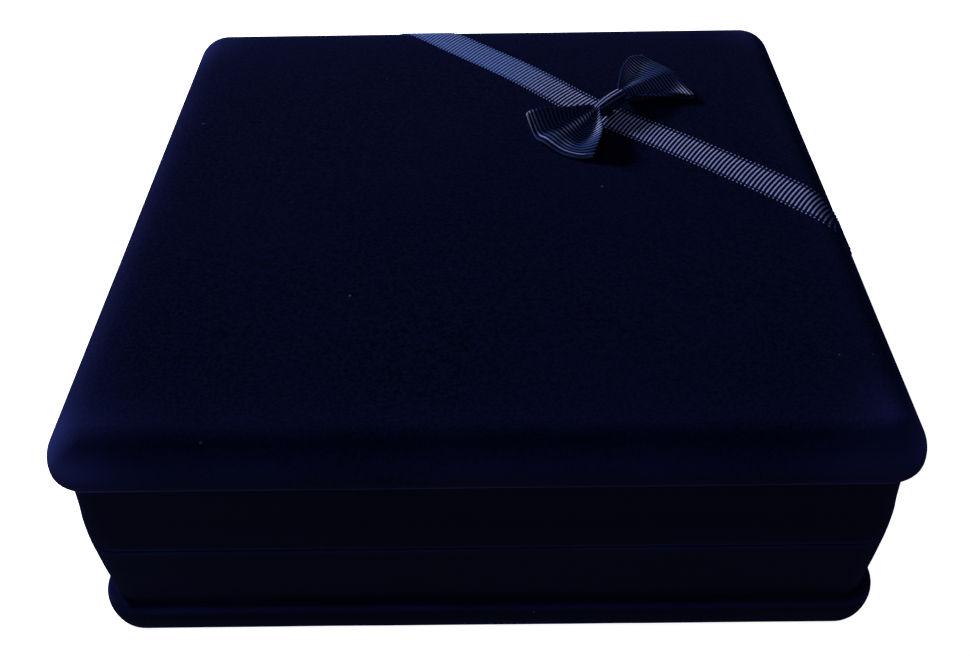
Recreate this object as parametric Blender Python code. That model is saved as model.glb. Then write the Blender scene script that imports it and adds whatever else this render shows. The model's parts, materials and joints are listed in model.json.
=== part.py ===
"""Velvet jewelry gift box: a square hinged box with a ribbon and bow on its lid.

Metres, +Z up. The origin is the middle of the underside, the front faces -Y and the hinges are at +Y.
"""

import math

import bmesh
import bpy
from mathutils import Matrix, Vector

MM = 0.001

# Driving dimensions of the outside
BOX_SIDE = 178 * MM
LID_TOP = 63.2 * MM
SEAM = 30.5 * MM
CORNER_RADIUS = 9.6 * MM
ROLL_WIDTH = 9.5 * MM
ROLL_BOTTOM = 53.8 * MM
LIP_BOTTOM = 52.4 * MM
FOOT_TOP = 10.2 * MM
FOOT_WIDEST = 6.6 * MM

# How far the outside lies inside the lid's widest outline
LIP_INSET = 1.4 * MM
CREASE_INSET = 2.6 * MM
LID_WALL_INSET = 1.95 * MM
SEAM_INSET = 1.8 * MM
BASE_WALL_INSET = 2.25 * MM
NECK_INSET = 2.9 * MM
FOOT_INSET = 0.2 * MM
SOLE_INSET = 3.0 * MM
LIP_UNDERCUT = 0.4 * MM
NECK_RISE = 0.3 * MM

# The foot's shoulder, as (inset, share of its height) points
FOOT_SHOULDER = ((0.35 * MM, 0.55), (1.0 * MM, 0.9))

# Layers
VELVET = 0.7 * MM
WALL = 2.0 * MM
CLEARANCE = 0.3 * MM
SKIN = VELVET + CLEARANCE
EDGE_ROUND = 0.6 * MM
SHELL_INNER_INSET = SEAM_INSET + SKIN + WALL
LINING_OUTER_INSET = 5.3 * MM
LINING_INNER_INSET = 9.1 * MM
LINING_END_SETBACK = 4.5 * MM
LINING_RIM_DROP = 0.9 * MM
LID_LINING_TOP = 55.5 * MM
BACK_LINING_THICKNESS = 1.6 * MM
HOLLOW_ROUND = 4.0 * MM
FLOOR = CLEARANCE + SKIN + WALL
CEILING = LID_TOP - SKIN - WALL
BOTTOM_CARD = 1.0 * MM
SOLE_TURN_IN = 10.2 * MM

# Inside
PAD_HALF = 79 * MM
FOAM_HALF = 78.4 * MM
FOAM_TOP = 16.0 * MM
BOARD = 1.5 * MM
PAD_TOP = 24.0 * MM
RING_SLOT_LENGTH = 46 * MM
RING_SLOT_WIDTH = 11.8 * MM
RING_SLOT_Y = -16 * MM
RING_ROLL_RADIUS = 2.6 * MM
RING_ROLL_END_GAP = 0.5 * MM
FLAP = 1.0 * MM
EARRING_FLAP_LENGTH = 34 * MM
EARRING_FLAP_WIDTH = 16 * MM
EARRING_FLAP_Y = 20 * MM
HOOK_RADIUS = 7 * MM
HOOK_TAIL = 5 * MM
HOOK_FROM_MIDDLE = 58 * MM
PULL_WIDTH = 8 * MM
PULL_LENGTH = 14 * MM
PULL_THICKNESS = 1.1 * MM
PULL_FROM_EDGE = 1 * MM
LID_CARD = 1.2 * MM
LID_PAD_BOTTOM = 53.0 * MM
LID_PAD_HALF = 79.3 * MM
LID_PAD_ROUND = 2.2 * MM

# Hinges
HINGE_X = 52 * MM
HINGE_WIDTH = 22 * MM
LID_KNUCKLE = 7.7 * MM
KNUCKLE_GAP = 0.3 * MM
LEAF = 0.8 * MM
LEAF_HEIGHT = 14 * MM
PIN_RADIUS = 0.75 * MM
CURL_RADIUS = 1.25 * MM
CURL_SWEEP = math.radians(290)
KNUCKLE_REACH = 2.9 * MM
RIVET_HEAD = 1.7 * MM
RIVET_HEAD_HEIGHT = 0.5 * MM
RIVET_DEPTH = 1.6 * MM
RIVET_SHANK = 0.8 * MM
RIVET_HOLE = 1.1 * MM
RIVET_SPACING = 14 * MM
RIVET_FROM_SEAM = 8 * MM
NOTCH_IN = 4.5 * MM
NOTCH_OUT = 4.0 * MM
HINGE_Y = BOX_SIDE / 2 - SEAM_INSET + 0.1 * MM

# Ribbon and bow
RIBBON_WIDTH = 10 * MM
RIBBON = 0.5 * MM
RIBBON_FROM_CENTRE = 48.0 * MM
RIBBON_TURN = math.radians(46)
BAND_FLAT_BEFORE = 4.0 * MM
BAND_TURN_AFTER = 4.5 * MM
BAND_TURN_LENGTH = 8.0 * MM
BAND_DROP = 14.9 * MM
BAND_STEPS = 13
BOW_FROM_CENTRE = 46.8 * MM
BOW_ACROSS = -1.7 * MM
KNOT_FRONT = 5.5 * MM
KNOT_BACK = 6.5 * MM
KNOT_RADIUS = 2.0 * MM
KNOT_HEIGHT = 4.3 * MM
LOOP_LENGTH = 18.0 * MM
LOOP_HALF_WIDTH = 11.6 * MM
GLUE_RADIUS = 1.6 * MM
GLUE_ALONG = 0.5 * MM

# A loop's sections from the knot out: share of its half width, underside, top
LOOP_SECTIONS = (
    (0.2, 2.6 * MM, 6.0 * MM),
    (0.48, 1.6 * MM, 6.8 * MM),
    (0.72, 0.9 * MM, 6.6 * MM),
    (0.92, 0.6 * MM, 5.8 * MM),
    (1.0, 0.6 * MM, 4.6 * MM),
    (0.9, 1.2 * MM, 2.8 * MM),
)

CORNER_STEPS = 6
SMALLEST_CORNER = 1.0 * MM
ROUND_SIDES = 16
SMALL_SIDES = 12
HALF = BOX_SIDE / 2


def clear_scene():
    for item in list(bpy.data.objects):
        bpy.data.objects.remove(item, do_unlink=True)


def material(name, colour, roughness, metallic=0.0):
    made = bpy.data.materials.new(name)
    made.use_nodes = True
    shader = made.node_tree.nodes["Principled BSDF"]
    shader.inputs["Base Color"].default_value = (*colour, 1.0)
    shader.inputs["Roughness"].default_value = roughness
    shader.inputs["Metallic"].default_value = metallic
    made.diffuse_color = (*colour, 1.0)
    return made


def velvet(name):
    return material(name, (0.006, 0.008, 0.024), 0.95)


def grosgrain(name):
    return material(name, (0.03, 0.045, 0.11), 0.6)


def card(name):
    return material(name, (0.02, 0.02, 0.03), 0.9)


def moulding(name):
    return material(name, (0.03, 0.03, 0.035), 0.5)


def satin(name):
    return material(name, (0.82, 0.80, 0.74), 0.35)


def brass(name):
    return material(name, (0.75, 0.58, 0.28), 0.3, 1.0)


def foam(name):
    return material(name, (0.05, 0.05, 0.06), 0.95)


def dark_satin(name):
    return material(name, (0.02, 0.025, 0.06), 0.4)


def glue(name):
    return material(name, (0.02, 0.025, 0.05), 0.3)


def add_object(name, mesh_builder, surface, parent, smooth=False):
    """Turn a bmesh into a named object under its body's empty, keeping its place in the world."""
    bmesh.ops.recalc_face_normals(mesh_builder, faces=mesh_builder.faces)
    mesh = bpy.data.meshes.new(name)
    mesh_builder.to_mesh(mesh)
    mesh_builder.free()
    made = bpy.data.objects.new(name, mesh)
    made.data.materials.append(surface)
    bpy.context.scene.collection.objects.link(made)
    made.parent = parent
    made.matrix_parent_inverse = Matrix.Translation(parent.location).inverted()
    if smooth:
        mesh.shade_smooth()
        mesh.set_sharp_from_angle(angle=math.radians(35))
    return made


def body_empty(name, location):
    empty = bpy.data.objects.new(name, None)
    empty.location = location
    bpy.context.scene.collection.objects.link(empty)
    return empty


def rounded_square(builder, inset, z):
    """A ring of vertices on the box's outline moved in by inset, at height z."""
    half = HALF - inset
    radius = max(CORNER_RADIUS - inset, SMALLEST_CORNER)
    ring = []
    for corner in range(4):
        start = corner * math.pi / 2
        centre = Matrix.Rotation(start, 3, "Z") @ Vector((half - radius, half - radius, 0))
        for step in range(CORNER_STEPS + 1):
            angle = start + step * math.pi / 2 / CORNER_STEPS
            offset = Vector((math.cos(angle), math.sin(angle), 0)) * radius
            ring.append(builder.verts.new((centre.x + offset.x, centre.y + offset.y, z)))
    return ring


def skin_rings(builder, first, second):
    count = len(first)
    for i in range(count):
        j = (i + 1) % count
        builder.faces.new((first[i], first[j], second[j], second[i]))


def lofted_cup(section):
    """A closed cup from (inset, height) points that run from one flat cap to the other."""
    builder = bmesh.new()
    rings = [rounded_square(builder, inset, z) for inset, z in section]
    for first, second in zip(rings, rings[1:]):
        skin_rings(builder, first, second)
    builder.faces.new(rings[0])
    builder.faces.new(rings[-1])
    return builder


def lofted_band(section):
    """A closed band round the box from (inset, height) points that run round its section."""
    builder = bmesh.new()
    rings = [rounded_square(builder, inset, z) for inset, z in section]
    for first, second in zip(rings, rings[1:] + rings[:1]):
        skin_rings(builder, first, second)
    return builder


def arc(centre, radii, start, end, steps):
    """Points on an ellipse in the (inset, height) plane, from angle start to end in degrees."""
    points = []
    for i in range(steps + 1):
        angle = math.radians(start + (end - start) * i / steps)
        points.append((centre[0] + radii[0] * math.cos(angle), centre[1] + radii[1] * math.sin(angle)))
    return points


def offset_path(path, distance):
    """The path moved sideways to its right by distance, with mitred corners."""
    moved = []
    for i, point in enumerate(path):
        here = Vector(point)
        before = Vector(path[max(i - 1, 0)])
        after = Vector(path[min(i + 1, len(path) - 1)])
        normals = []
        for start, end in ((before, here), (here, after)):
            run = end - start
            if run.length > 0:
                normals.append(Vector((run.y, -run.x)).normalized())
        normal = sum(normals, Vector((0, 0))).normalized()
        reach = distance / max(normal.dot(normals[0]), 0.5)
        moved.append(tuple(here + normal * reach))
    return moved


def rim_corner(rim, up, rounded):
    """The outer corner of a rim at height rim; up is +1 where the wall rises from it.

    The velvet is rounded there, the layers under it are square.
    """
    if not rounded:
        return [(SEAM_INSET, rim)]
    centre = (SEAM_INSET + EDGE_ROUND, rim + up * EDGE_ROUND)
    return arc(centre, (EDGE_ROUND, up * EDGE_ROUND), 270, 180, 2)


def lid_outside(rounded):
    """The lid's outer section, from the rim's inner edge, up the wall and over the roll to the top."""
    rim = SEAM + CLEARANCE / 2
    path = [(SHELL_INNER_INSET, rim), *rim_corner(rim, 1, rounded)]
    path += [(LID_WALL_INSET, (SEAM + LIP_BOTTOM) / 2), (CREASE_INSET, LIP_BOTTOM - LIP_UNDERCUT)]
    lip_height = ROLL_BOTTOM - LIP_BOTTOM
    path += arc((LIP_INSET, ROLL_BOTTOM), (LIP_INSET, lip_height), 270, 180, 3)
    path += arc((ROLL_WIDTH, ROLL_BOTTOM), (ROLL_WIDTH, LID_TOP - ROLL_BOTTOM), 180, 90, 7)[1:]
    return path


def base_outside(rounded):
    """The base's outer section, from the sole's inner edge, round the foot and up the wall to the rim."""
    rim = SEAM - CLEARANCE / 2
    sole = CLEARANCE
    path = [(SOLE_TURN_IN, sole)]
    foot_round = (SOLE_INSET - FOOT_INSET, FOOT_WIDEST - sole)
    path += arc((SOLE_INSET, FOOT_WIDEST), foot_round, 270, 180, 4)
    shoulder = FOOT_TOP - FOOT_WIDEST
    path += [(inset, FOOT_WIDEST + share * shoulder) for inset, share in FOOT_SHOULDER]
    path += [(NECK_INSET, FOOT_TOP + NECK_RISE), (BASE_WALL_INSET, (FOOT_TOP + SEAM) / 2)]
    path += rim_corner(rim, -1, rounded)[::-1]
    path += [(SHELL_INNER_INSET, rim)]
    return path


def add_base_shells(base):
    """The base's moulded tray and the velvet drawn over it."""
    inner = offset_path(base_outside(False), VELVET)
    section = base_outside(True) + inner[::-1]
    cover = add_object("base_velvet_cover", lofted_band(section), velvet("base_velvet"), base, True)

    tray = offset_path(base_outside(False), SKIN)[1:-1]
    section = tray + [(SHELL_INNER_INSET, tray[-1][1]), (SHELL_INNER_INSET, FLOOR)]
    shell = add_object("base_shell", lofted_cup(section), moulding("base_moulding"), base, True)
    return cover, shell


def add_lid_shells(lid):
    """The lid's moulded shell and the velvet drawn over it."""
    inner = offset_path(lid_outside(False), VELVET)
    section = inner[::-1] + lid_outside(True)
    cover = add_object("lid_velvet_cover", lofted_cup(section), velvet("lid_velvet"), lid, True)

    tray = offset_path(lid_outside(False), SKIN)[1:]
    centre = (SHELL_INNER_INSET + HOLLOW_ROUND, CEILING - HOLLOW_ROUND)
    hollow = arc(centre, (HOLLOW_ROUND, HOLLOW_ROUND), 90, 180, 3)
    section = hollow + [(SHELL_INNER_INSET, tray[0][1])] + tray
    shell = add_object("lid_shell", lofted_cup(section), moulding("lid_moulding"), lid, True)
    return cover, shell


def box_mesh(builder, low, high):
    made = bmesh.ops.create_cube(builder, size=1.0)
    size = Vector(high) - Vector(low)
    middle = (Vector(high) + Vector(low)) / 2
    bmesh.ops.transform(builder, matrix=Matrix.Diagonal((*size, 1.0)), verts=made["verts"])
    bmesh.ops.translate(builder, vec=middle, verts=made["verts"])
    return made["verts"]


def add_box(name, low, high, surface, parent, bevel=0.0):
    builder = bmesh.new()
    box_mesh(builder, low, high)
    made = add_object(name, builder, surface, parent)
    if bevel:
        soft = made.modifiers.new("soft_edges", "BEVEL")
        soft.width = bevel
        soft.segments = 2
        made.data.shade_smooth()
        made.data.set_sharp_from_angle(angle=math.radians(60))
    return made


def add_cylinder(name, start, end, radius, sides, surface, parent):
    builder = bmesh.new()
    axis = Vector(end) - Vector(start)
    turn = axis.to_track_quat("Z", "Y").to_matrix().to_4x4()
    place = Matrix.Translation((Vector(start) + Vector(end)) / 2) @ turn
    bmesh.ops.create_cone(
        builder,
        cap_ends=True,
        segments=sides,
        radius1=radius,
        radius2=radius,
        depth=axis.length,
        matrix=place,
    )
    return add_object(name, builder, surface, parent, True)


def cutter(name, builder):
    bmesh.ops.recalc_face_normals(builder, faces=builder.faces)
    mesh = bpy.data.meshes.new(name)
    builder.to_mesh(mesh)
    builder.free()
    made = bpy.data.objects.new(name, mesh)
    made.hide_render = True
    made.display_type = "WIRE"
    bpy.context.scene.collection.objects.link(made)
    return made


def cut(target, tool):
    boolean = target.modifiers.new(tool.name, "BOOLEAN")
    boolean.operation = "DIFFERENCE"
    boolean.solver = "EXACT"
    boolean.object = tool


def add_linings(body_name, parent, bottom, top, surface):
    """Four velvet-wrapped strips that line the walls; the back one is thin, to clear the hinge leaves."""
    outer = HALF - LINING_OUTER_INSET
    inner = HALF - LINING_INNER_INSET
    long_end = outer - LINING_END_SETBACK
    short_end = inner - CLEARANCE
    back = inner + BACK_LINING_THICKNESS
    spans = {
        "front": ((-long_end, -outer), (long_end, -inner)),
        "back": ((-long_end, inner), (long_end, back)),
        "left": ((-outer, -short_end), (-inner, short_end)),
        "right": ((inner, -short_end), (outer, short_end)),
    }
    for side, (low, high) in spans.items():
        add_box(f"{body_name}_lining_{side}", (*low, bottom), (*high, top), surface, parent)


def add_bottom_card(base):
    half = HALF - SOLE_TURN_IN - CLEARANCE
    add_box("bottom_card", (-half, -half, 0), (half, half, BOTTOM_CARD), card("bottom_card"), base)


def add_pad(base, pad):
    """The foam that carries the pad, and the pad's board and cushion."""
    low = (-FOAM_HALF, -FOAM_HALF, FLOOR + CLEARANCE)
    add_box("pad_foam", low, (FOAM_HALF, FOAM_HALF, FOAM_TOP), foam("pad_foam"), base)

    board_low = FOAM_TOP + CLEARANCE
    board_top = board_low + BOARD
    board_half = PAD_HALF - CLEARANCE
    low = (-board_half, -board_half, board_low)
    add_box("pad_board", low, (board_half, board_half, board_top), card("pad_board"), pad)

    pad_low = board_top + CLEARANCE
    low = (-PAD_HALF, -PAD_HALF, pad_low)
    cushion = add_box("display_pad", low, (PAD_HALF, PAD_HALF, PAD_TOP), velvet("pad_velvet"), pad)
    slot = bmesh.new()
    middle = Vector((0, RING_SLOT_Y, (pad_low + PAD_TOP) / 2))
    half_slot = Vector((RING_SLOT_LENGTH / 2, RING_SLOT_WIDTH / 2, PAD_TOP - pad_low))
    box_mesh(slot, middle - half_slot, middle + half_slot)
    cut(cushion, cutter("ring_slot_cutter", slot))
    add_ring_rolls(pad, pad_low + CLEARANCE + RING_ROLL_RADIUS)
    add_flaps(pad, PAD_TOP + CLEARANCE)


def add_ring_rolls(pad, height):
    """Two velvet rolls side by side in the slot; rings are pushed between them."""
    offset = RING_ROLL_RADIUS + CLEARANCE / 2
    end = RING_SLOT_LENGTH / 2 - RING_ROLL_END_GAP
    for name, side in (("ring_roll_front", -1), ("ring_roll_back", 1)):
        y = RING_SLOT_Y + side * offset
        ends = ((-end, y, height), (end, y, height))
        add_cylinder(name, *ends, RING_ROLL_RADIUS, ROUND_SIDES, velvet("roll_velvet"), pad)


def add_flaps(pad, low):
    """What lies on the pad: the earring flap, the two chain hooks and the pull tab."""
    half_length = EARRING_FLAP_LENGTH / 2
    front = EARRING_FLAP_Y - EARRING_FLAP_WIDTH / 2
    back = EARRING_FLAP_Y + EARRING_FLAP_WIDTH / 2
    flap = velvet("earring_flap_velvet")
    add_box("earring_flap", (-half_length, front, low), (half_length, back, low + FLAP), flap, pad)
    for name, side in (("hook_flap_left", -1), ("hook_flap_right", 1)):
        add_hook_flap(name, side, low, pad)

    half_width = PULL_WIDTH / 2
    front = -PAD_HALF + PULL_FROM_EDGE
    high = (half_width, front + PULL_LENGTH, low + PULL_THICKNESS)
    add_box("pull_tab", (-half_width, front, low), high, dark_satin("pull_tab_satin"), pad)


def add_hook_flap(name, side, low, pad):
    """A half-round velvet tab at a back corner of the pad; the chain hooks behind it."""
    outline = [(-HOOK_RADIUS, -HOOK_TAIL), (HOOK_RADIUS, -HOOK_TAIL)]
    for i in range(9):
        angle = i * math.pi / 8
        outline.append((HOOK_RADIUS * math.cos(angle), HOOK_RADIUS * math.sin(angle)))
    builder = bmesh.new()
    face = builder.faces.new([builder.verts.new((x, y, low)) for x, y in outline])
    lifted = bmesh.ops.extrude_face_region(builder, geom=[face])
    tops = [item for item in lifted["geom"] if isinstance(item, bmesh.types.BMVert)]
    bmesh.ops.translate(builder, vec=(0, 0, FLAP), verts=tops)
    spot = Matrix.Translation((side * HOOK_FROM_MIDDLE, HOOK_FROM_MIDDLE, 0))
    place = spot @ Matrix.Rotation(-side * math.pi / 4, 4, "Z")
    bmesh.ops.transform(builder, matrix=place, verts=builder.verts)
    add_object(name, builder, velvet("hook_flap_velvet"), pad)


def extruded(outline, low_x, high_x):
    """A prism along X from an outline of (y, z) points."""
    builder = bmesh.new()
    near = [builder.verts.new((low_x, y, z)) for y, z in outline]
    far = [builder.verts.new((high_x, y, z)) for y, z in outline]
    skin_rings(builder, near, far)
    builder.faces.new(near)
    builder.faces.new(far)
    return builder


def leaf_outline(side):
    """A hinge leaf's section: a plate on the inside of the wall, a tab through it, and a curled knuckle.

    side is -1 for the base's leaf, below the seam, and +1 for the lid's, above it.
    """
    plate_y = -(HINGE_Y - (HALF - SHELL_INNER_INSET)) - CLEARANCE - LEAF / 2
    curl_steps = 12
    centre_line = [Vector((plate_y, -LEAF_HEIGHT)), Vector((plate_y, -CURL_RADIUS))]
    for i in range(curl_steps + 1):
        angle = -math.pi / 2 + CURL_SWEEP * i / curl_steps
        centre_line.append(Vector((math.cos(angle), math.sin(angle))) * CURL_RADIUS)
    left = offset_path(centre_line, -LEAF / 2)
    right = offset_path(centre_line, LEAF / 2)
    return [(HINGE_Y + y, SEAM - side * z) for y, z in left + right[::-1]]


def add_hinge(name, x, base, lid, shells):
    """One small rolled hinge: two curled leaves, the pin, and two rivets through each leaf."""
    half = HINGE_WIDTH / 2
    base_shell, lid_shell = shells
    for body, side, parent, shell in (("base", -1, base, base_shell), ("lid", 1, lid, lid_shell)):
        leaf = add_object(
            f"{body}_hinge_leaf_{name}",
            extruded(leaf_outline(side), x - half, x + half),
            brass(f"{body}_leaf_brass_{name}"),
            parent,
            True,
        )
        gaps = bmesh.new()
        knuckle_half = LID_KNUCKLE / 2
        if body == "base":
            spans = [(x - knuckle_half - KNUCKLE_GAP, x + knuckle_half + KNUCKLE_GAP)]
        else:
            spans = [(x - half - MM, x - knuckle_half), (x + knuckle_half, x + half + MM)]
        for low_x, high_x in spans:
            low = (low_x, HINGE_Y - KNUCKLE_REACH, SEAM - KNUCKLE_REACH)
            box_mesh(gaps, low, (high_x, HINGE_Y + KNUCKLE_REACH, SEAM + KNUCKLE_REACH))
        cut(leaf, cutter(f"{body}_knuckle_cutter_{name}", gaps))
        add_rivets(body, name, x, side, parent, leaf, shell)
    ends = ((x - half, HINGE_Y, SEAM), (x + half, HINGE_Y, SEAM))
    add_cylinder(f"hinge_pin_{name}", *ends, PIN_RADIUS, ROUND_SIDES, brass(f"pin_brass_{name}"), base)


def add_rivets(body, name, x, side, parent, leaf, shell):
    """Two rivets whose heads are on the leaf and whose shanks end in the wall."""
    wall_inside = HALF - SHELL_INNER_INSET
    leaf_front = wall_inside - CLEARANCE - LEAF
    head_back = leaf_front - CLEARANCE / 2
    z = SEAM + side * RIVET_FROM_SEAM
    holes = bmesh.new()
    for number, offset in ((1, -RIVET_SPACING / 2), (2, RIVET_SPACING / 2)):
        at = x + offset
        profile = [
            (RIVET_HEAD, head_back - RIVET_HEAD_HEIGHT),
            (RIVET_HEAD, head_back),
            (RIVET_SHANK, head_back),
            (RIVET_SHANK, wall_inside + RIVET_DEPTH),
        ]
        rivet = turned_along_y(profile, at, z, SMALL_SIDES)
        label = f"{body}_rivet_{name}_{number}"
        add_object(label, rivet, brass(f"{body}_rivet_brass_{name}_{number}"), parent, True)
        turn = Matrix.Rotation(math.pi / 2, 4, "X")
        bmesh.ops.create_cone(
            holes,
            cap_ends=True,
            segments=SMALL_SIDES,
            radius1=RIVET_HOLE,
            radius2=RIVET_HOLE,
            depth=3 * WALL,
            matrix=Matrix.Translation((at, wall_inside, z)) @ turn,
        )
    tool = cutter(f"{body}_rivet_cutter_{name}", holes)
    cut(leaf, tool)
    cut(shell, tool)


def turned_along_y(profile, x, z, sides):
    """A turned solid round an axis along Y from (radius, y) points."""
    builder = bmesh.new()
    rings = []
    for radius, y in profile:
        ring = []
        for i in range(sides):
            angle = 2 * math.pi * i / sides
            ring.append(builder.verts.new((x + radius * math.cos(angle), y, z + radius * math.sin(angle))))
        rings.append(ring)
    for first, second in zip(rings, rings[1:]):
        skin_rings(builder, first, second)
    builder.faces.new(rings[0])
    builder.faces.new(rings[-1])
    return builder


def cut_hinge_notches(targets):
    """Notches in both rims that let the tabs and knuckles through."""
    notches = bmesh.new()
    half = HINGE_WIDTH / 2 + CLEARANCE
    height = CURL_RADIUS + LEAF / 2 + CLEARANCE
    for side in (-1, 1):
        low = (side * HINGE_X - half, HINGE_Y - NOTCH_IN, SEAM - height)
        box_mesh(notches, low, (side * HINGE_X + half, HINGE_Y + NOTCH_OUT, SEAM + height))
    tool = cutter("hinge_notch_cutter", notches)
    for target in targets:
        cut(target, tool)


def add_lid_inside(lid):
    """The lid's satin-covered pad on its card."""
    half = LID_PAD_HALF
    card_top = CEILING - CLEARANCE
    card_low = card_top - LID_CARD
    add_box("lid_pad_card", (-half, -half, card_low), (half, half, card_top), card("lid_pad_card"), lid)
    low = (-half, -half, LID_PAD_BOTTOM)
    high = (half, half, card_low - CLEARANCE)
    add_box("lid_satin_pad", low, high, satin("lid_satin"), lid, LID_PAD_ROUND)


def roll_point(distance, lift):
    """(outward, height) at a distance past the start of the roll, measured down the outside."""
    start = HALF - ROLL_WIDTH
    height = LID_TOP - ROLL_BOTTOM
    steps = 64
    here = Vector((0, height))
    normal = Vector((0, 1))
    for i in range(1, steps + 1):
        angle = math.pi / 2 * (1 - i / steps)
        after = Vector((ROLL_WIDTH * math.cos(angle), height * math.sin(angle)))
        run = (after - here).length
        normal = Vector((after.x / ROLL_WIDTH**2, after.y / height**2)).normalized()
        if run >= distance:
            here = here.lerp(after, distance / run)
            distance = 0
            break
        distance -= run
        here = after
    here = here + Vector((0, -distance)) + normal * lift
    return start + here.x, ROLL_BOTTOM + here.y


def lid_point(across, back, lift):
    """A point on the lid's outside, from its place on the flat unrolled lid, raised by lift."""
    start = HALF - ROLL_WIDTH
    if across > start:
        x, z = roll_point(across - start, lift)
        return Vector((x, back, z))
    if back > start:
        y, z = roll_point(back - start, lift)
        return Vector((across, y, z))
    return Vector((across, back, LID_TOP + lift))


def ribbon_line():
    """The band's centre line on the unrolled lid, as (point, heading) pairs from the back to the right.

    It runs straight across the corner and swings square to each edge part of the way down the roll.
    """
    straight = RIBBON_TURN - math.pi / 2
    middle = Vector((math.cos(RIBBON_TURN), math.sin(RIBBON_TURN))) * RIBBON_FROM_CENTRE
    bend_at = HALF - ROLL_WIDTH - BAND_FLAT_BEFORE
    step = (BAND_FLAT_BEFORE + BAND_DROP) / BAND_STEPS
    ends = []
    for axis, square in ((1, -math.pi / 2), (0, 0.0)):
        run = Vector((math.cos(straight), math.sin(straight)))
        spot = middle + run * ((bend_at - middle[axis]) / run[axis])
        end = [(spot, straight)]
        for i in range(BAND_STEPS):
            past = (i + 0.5) * step - BAND_FLAT_BEFORE - BAND_TURN_AFTER
            share = max(0.0, min(1.0, past / BAND_TURN_LENGTH))
            heading = straight + (square - straight) * share
            run = Vector((math.cos(heading), math.sin(heading)))
            spot = spot + run * (step / run[axis])
            end.append((spot, heading))
        ends.append(end)
    back, right = ends
    return back[::-1] + right


def ribbon_rows():
    """The band's two edges and its middle on the unrolled lid, each as points along the ribbon."""
    rows = []
    for offset in (-RIBBON_WIDTH / 2, 0, RIBBON_WIDTH / 2):
        row = []
        for spot, heading in ribbon_line():
            row.append(spot + Vector((-math.sin(heading), math.cos(heading))) * offset)
        rows.append(row)
    return rows


def add_ribbon_band(lid):
    """A flat ribbon over the back right corner of the lid, turned down over both rolled edges."""
    rows = ribbon_rows()
    builder = bmesh.new()
    layers = []
    for lift in (CLEARANCE, CLEARANCE + RIBBON):
        layers.append([[builder.verts.new(lid_point(p.x, p.y, lift)) for p in row] for row in rows])
    under, over = layers
    count = len(rows[0])
    for layer in layers:
        for first, second in zip(layer, layer[1:]):
            for i in range(count - 1):
                builder.faces.new((first[i], first[i + 1], second[i + 1], second[i]))
    for edge in (0, -1):
        for i in range(count - 1):
            builder.faces.new((under[edge][i], under[edge][i + 1], over[edge][i + 1], over[edge][i]))
    for end in (0, -1):
        for row in range(len(rows) - 1):
            builder.faces.new((under[row][end], under[row + 1][end], over[row + 1][end], over[row][end]))
    add_object("ribbon_band", builder, grosgrain("band_grosgrain"), lid, True)


def bow_matrix():
    """The bow's frame: X along the bow to the back right, Z up, on the lid over the ribbon's middle."""
    outward = Vector((math.cos(RIBBON_TURN), math.sin(RIBBON_TURN), 0))
    sideways = Vector((math.sin(RIBBON_TURN), -math.cos(RIBBON_TURN), 0))
    centre = outward * BOW_FROM_CENTRE - sideways * BOW_ACROSS
    turn = Matrix.Rotation(RIBBON_TURN, 4, "Z")
    return Matrix.Translation((centre.x, centre.y, LID_TOP)) @ turn


def bow_loop(sign, start):
    """A puffed loop of ribbon as sections across the bow, from the knot to the folded end."""
    builder = bmesh.new()
    sections = []
    for i, (share, bottom, top) in enumerate(LOOP_SECTIONS):
        along = sign * (start + LOOP_LENGTH * i / (len(LOOP_SECTIONS) - 1))
        ring = []
        for step in range(SMALL_SIDES):
            angle = 2 * math.pi * step / SMALL_SIDES
            across = share * LOOP_HALF_WIDTH * math.cos(angle)
            height = (bottom + top) / 2 + (top - bottom) / 2 * math.sin(angle)
            ring.append(builder.verts.new((along, across, height)))
        sections.append(ring)
    for first, second in zip(sections, sections[1:]):
        skin_rings(builder, first, second)
    builder.faces.new(sections[0])
    builder.faces.new(sections[-1])
    bmesh.ops.transform(builder, matrix=bow_matrix(), verts=builder.verts)
    return builder


def add_bow(lid):
    """The bow: two loops of wide ribbon, the narrow ribbon wound round them, and the glue under it."""
    front = bow_loop(-1, KNOT_FRONT + CLEARANCE)
    add_object("bow_loop_front", front, grosgrain("front_loop_grosgrain"), lid, True)
    back = bow_loop(1, KNOT_BACK + CLEARANCE)
    add_object("bow_loop_back", back, grosgrain("back_loop_grosgrain"), lid, True)
    place = bow_matrix()
    ends = [place @ Vector((x, 0, KNOT_HEIGHT)) for x in (-KNOT_FRONT, KNOT_BACK)]
    add_cylinder("bow_knot", *ends, KNOT_RADIUS, ROUND_SIDES, grosgrain("knot_grosgrain"), lid)
    glue_low = 2 * CLEARANCE + RIBBON
    glue_top = KNOT_HEIGHT - KNOT_RADIUS - CLEARANCE
    ends = [place @ Vector((GLUE_ALONG, 0, z)) for z in (glue_low, glue_top)]
    add_cylinder("bow_glue_dot", *ends, GLUE_RADIUS, SMALL_SIDES, glue("bow_glue"), lid)


def main():
    clear_scene()
    base = body_empty("base_body", (0, 0, 0))
    pad = body_empty("pad_body", (0, 0, FOAM_TOP))
    lid = body_empty("lid_body", (0, HINGE_Y, SEAM))
    cover, shell = add_base_shells(base)
    lid_cover, lid_shell = add_lid_shells(lid)
    cut_hinge_notches((cover, shell, lid_cover, lid_shell))
    add_bottom_card(base)
    base_linings = (FLOOR + CLEARANCE, SEAM - LINING_RIM_DROP)
    add_linings("base", base, *base_linings, velvet("base_lining_velvet"))
    add_pad(base, pad)
    lid_linings = (SEAM + LINING_RIM_DROP, LID_LINING_TOP)
    add_linings("lid", lid, *lid_linings, velvet("lid_lining_velvet"))
    add_lid_inside(lid)
    for name, side in (("left", -1), ("right", 1)):
        add_hinge(name, side * HINGE_X, base, lid, (shell, lid_shell))
    add_ribbon_band(lid)
    add_bow(lid)


main()
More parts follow.
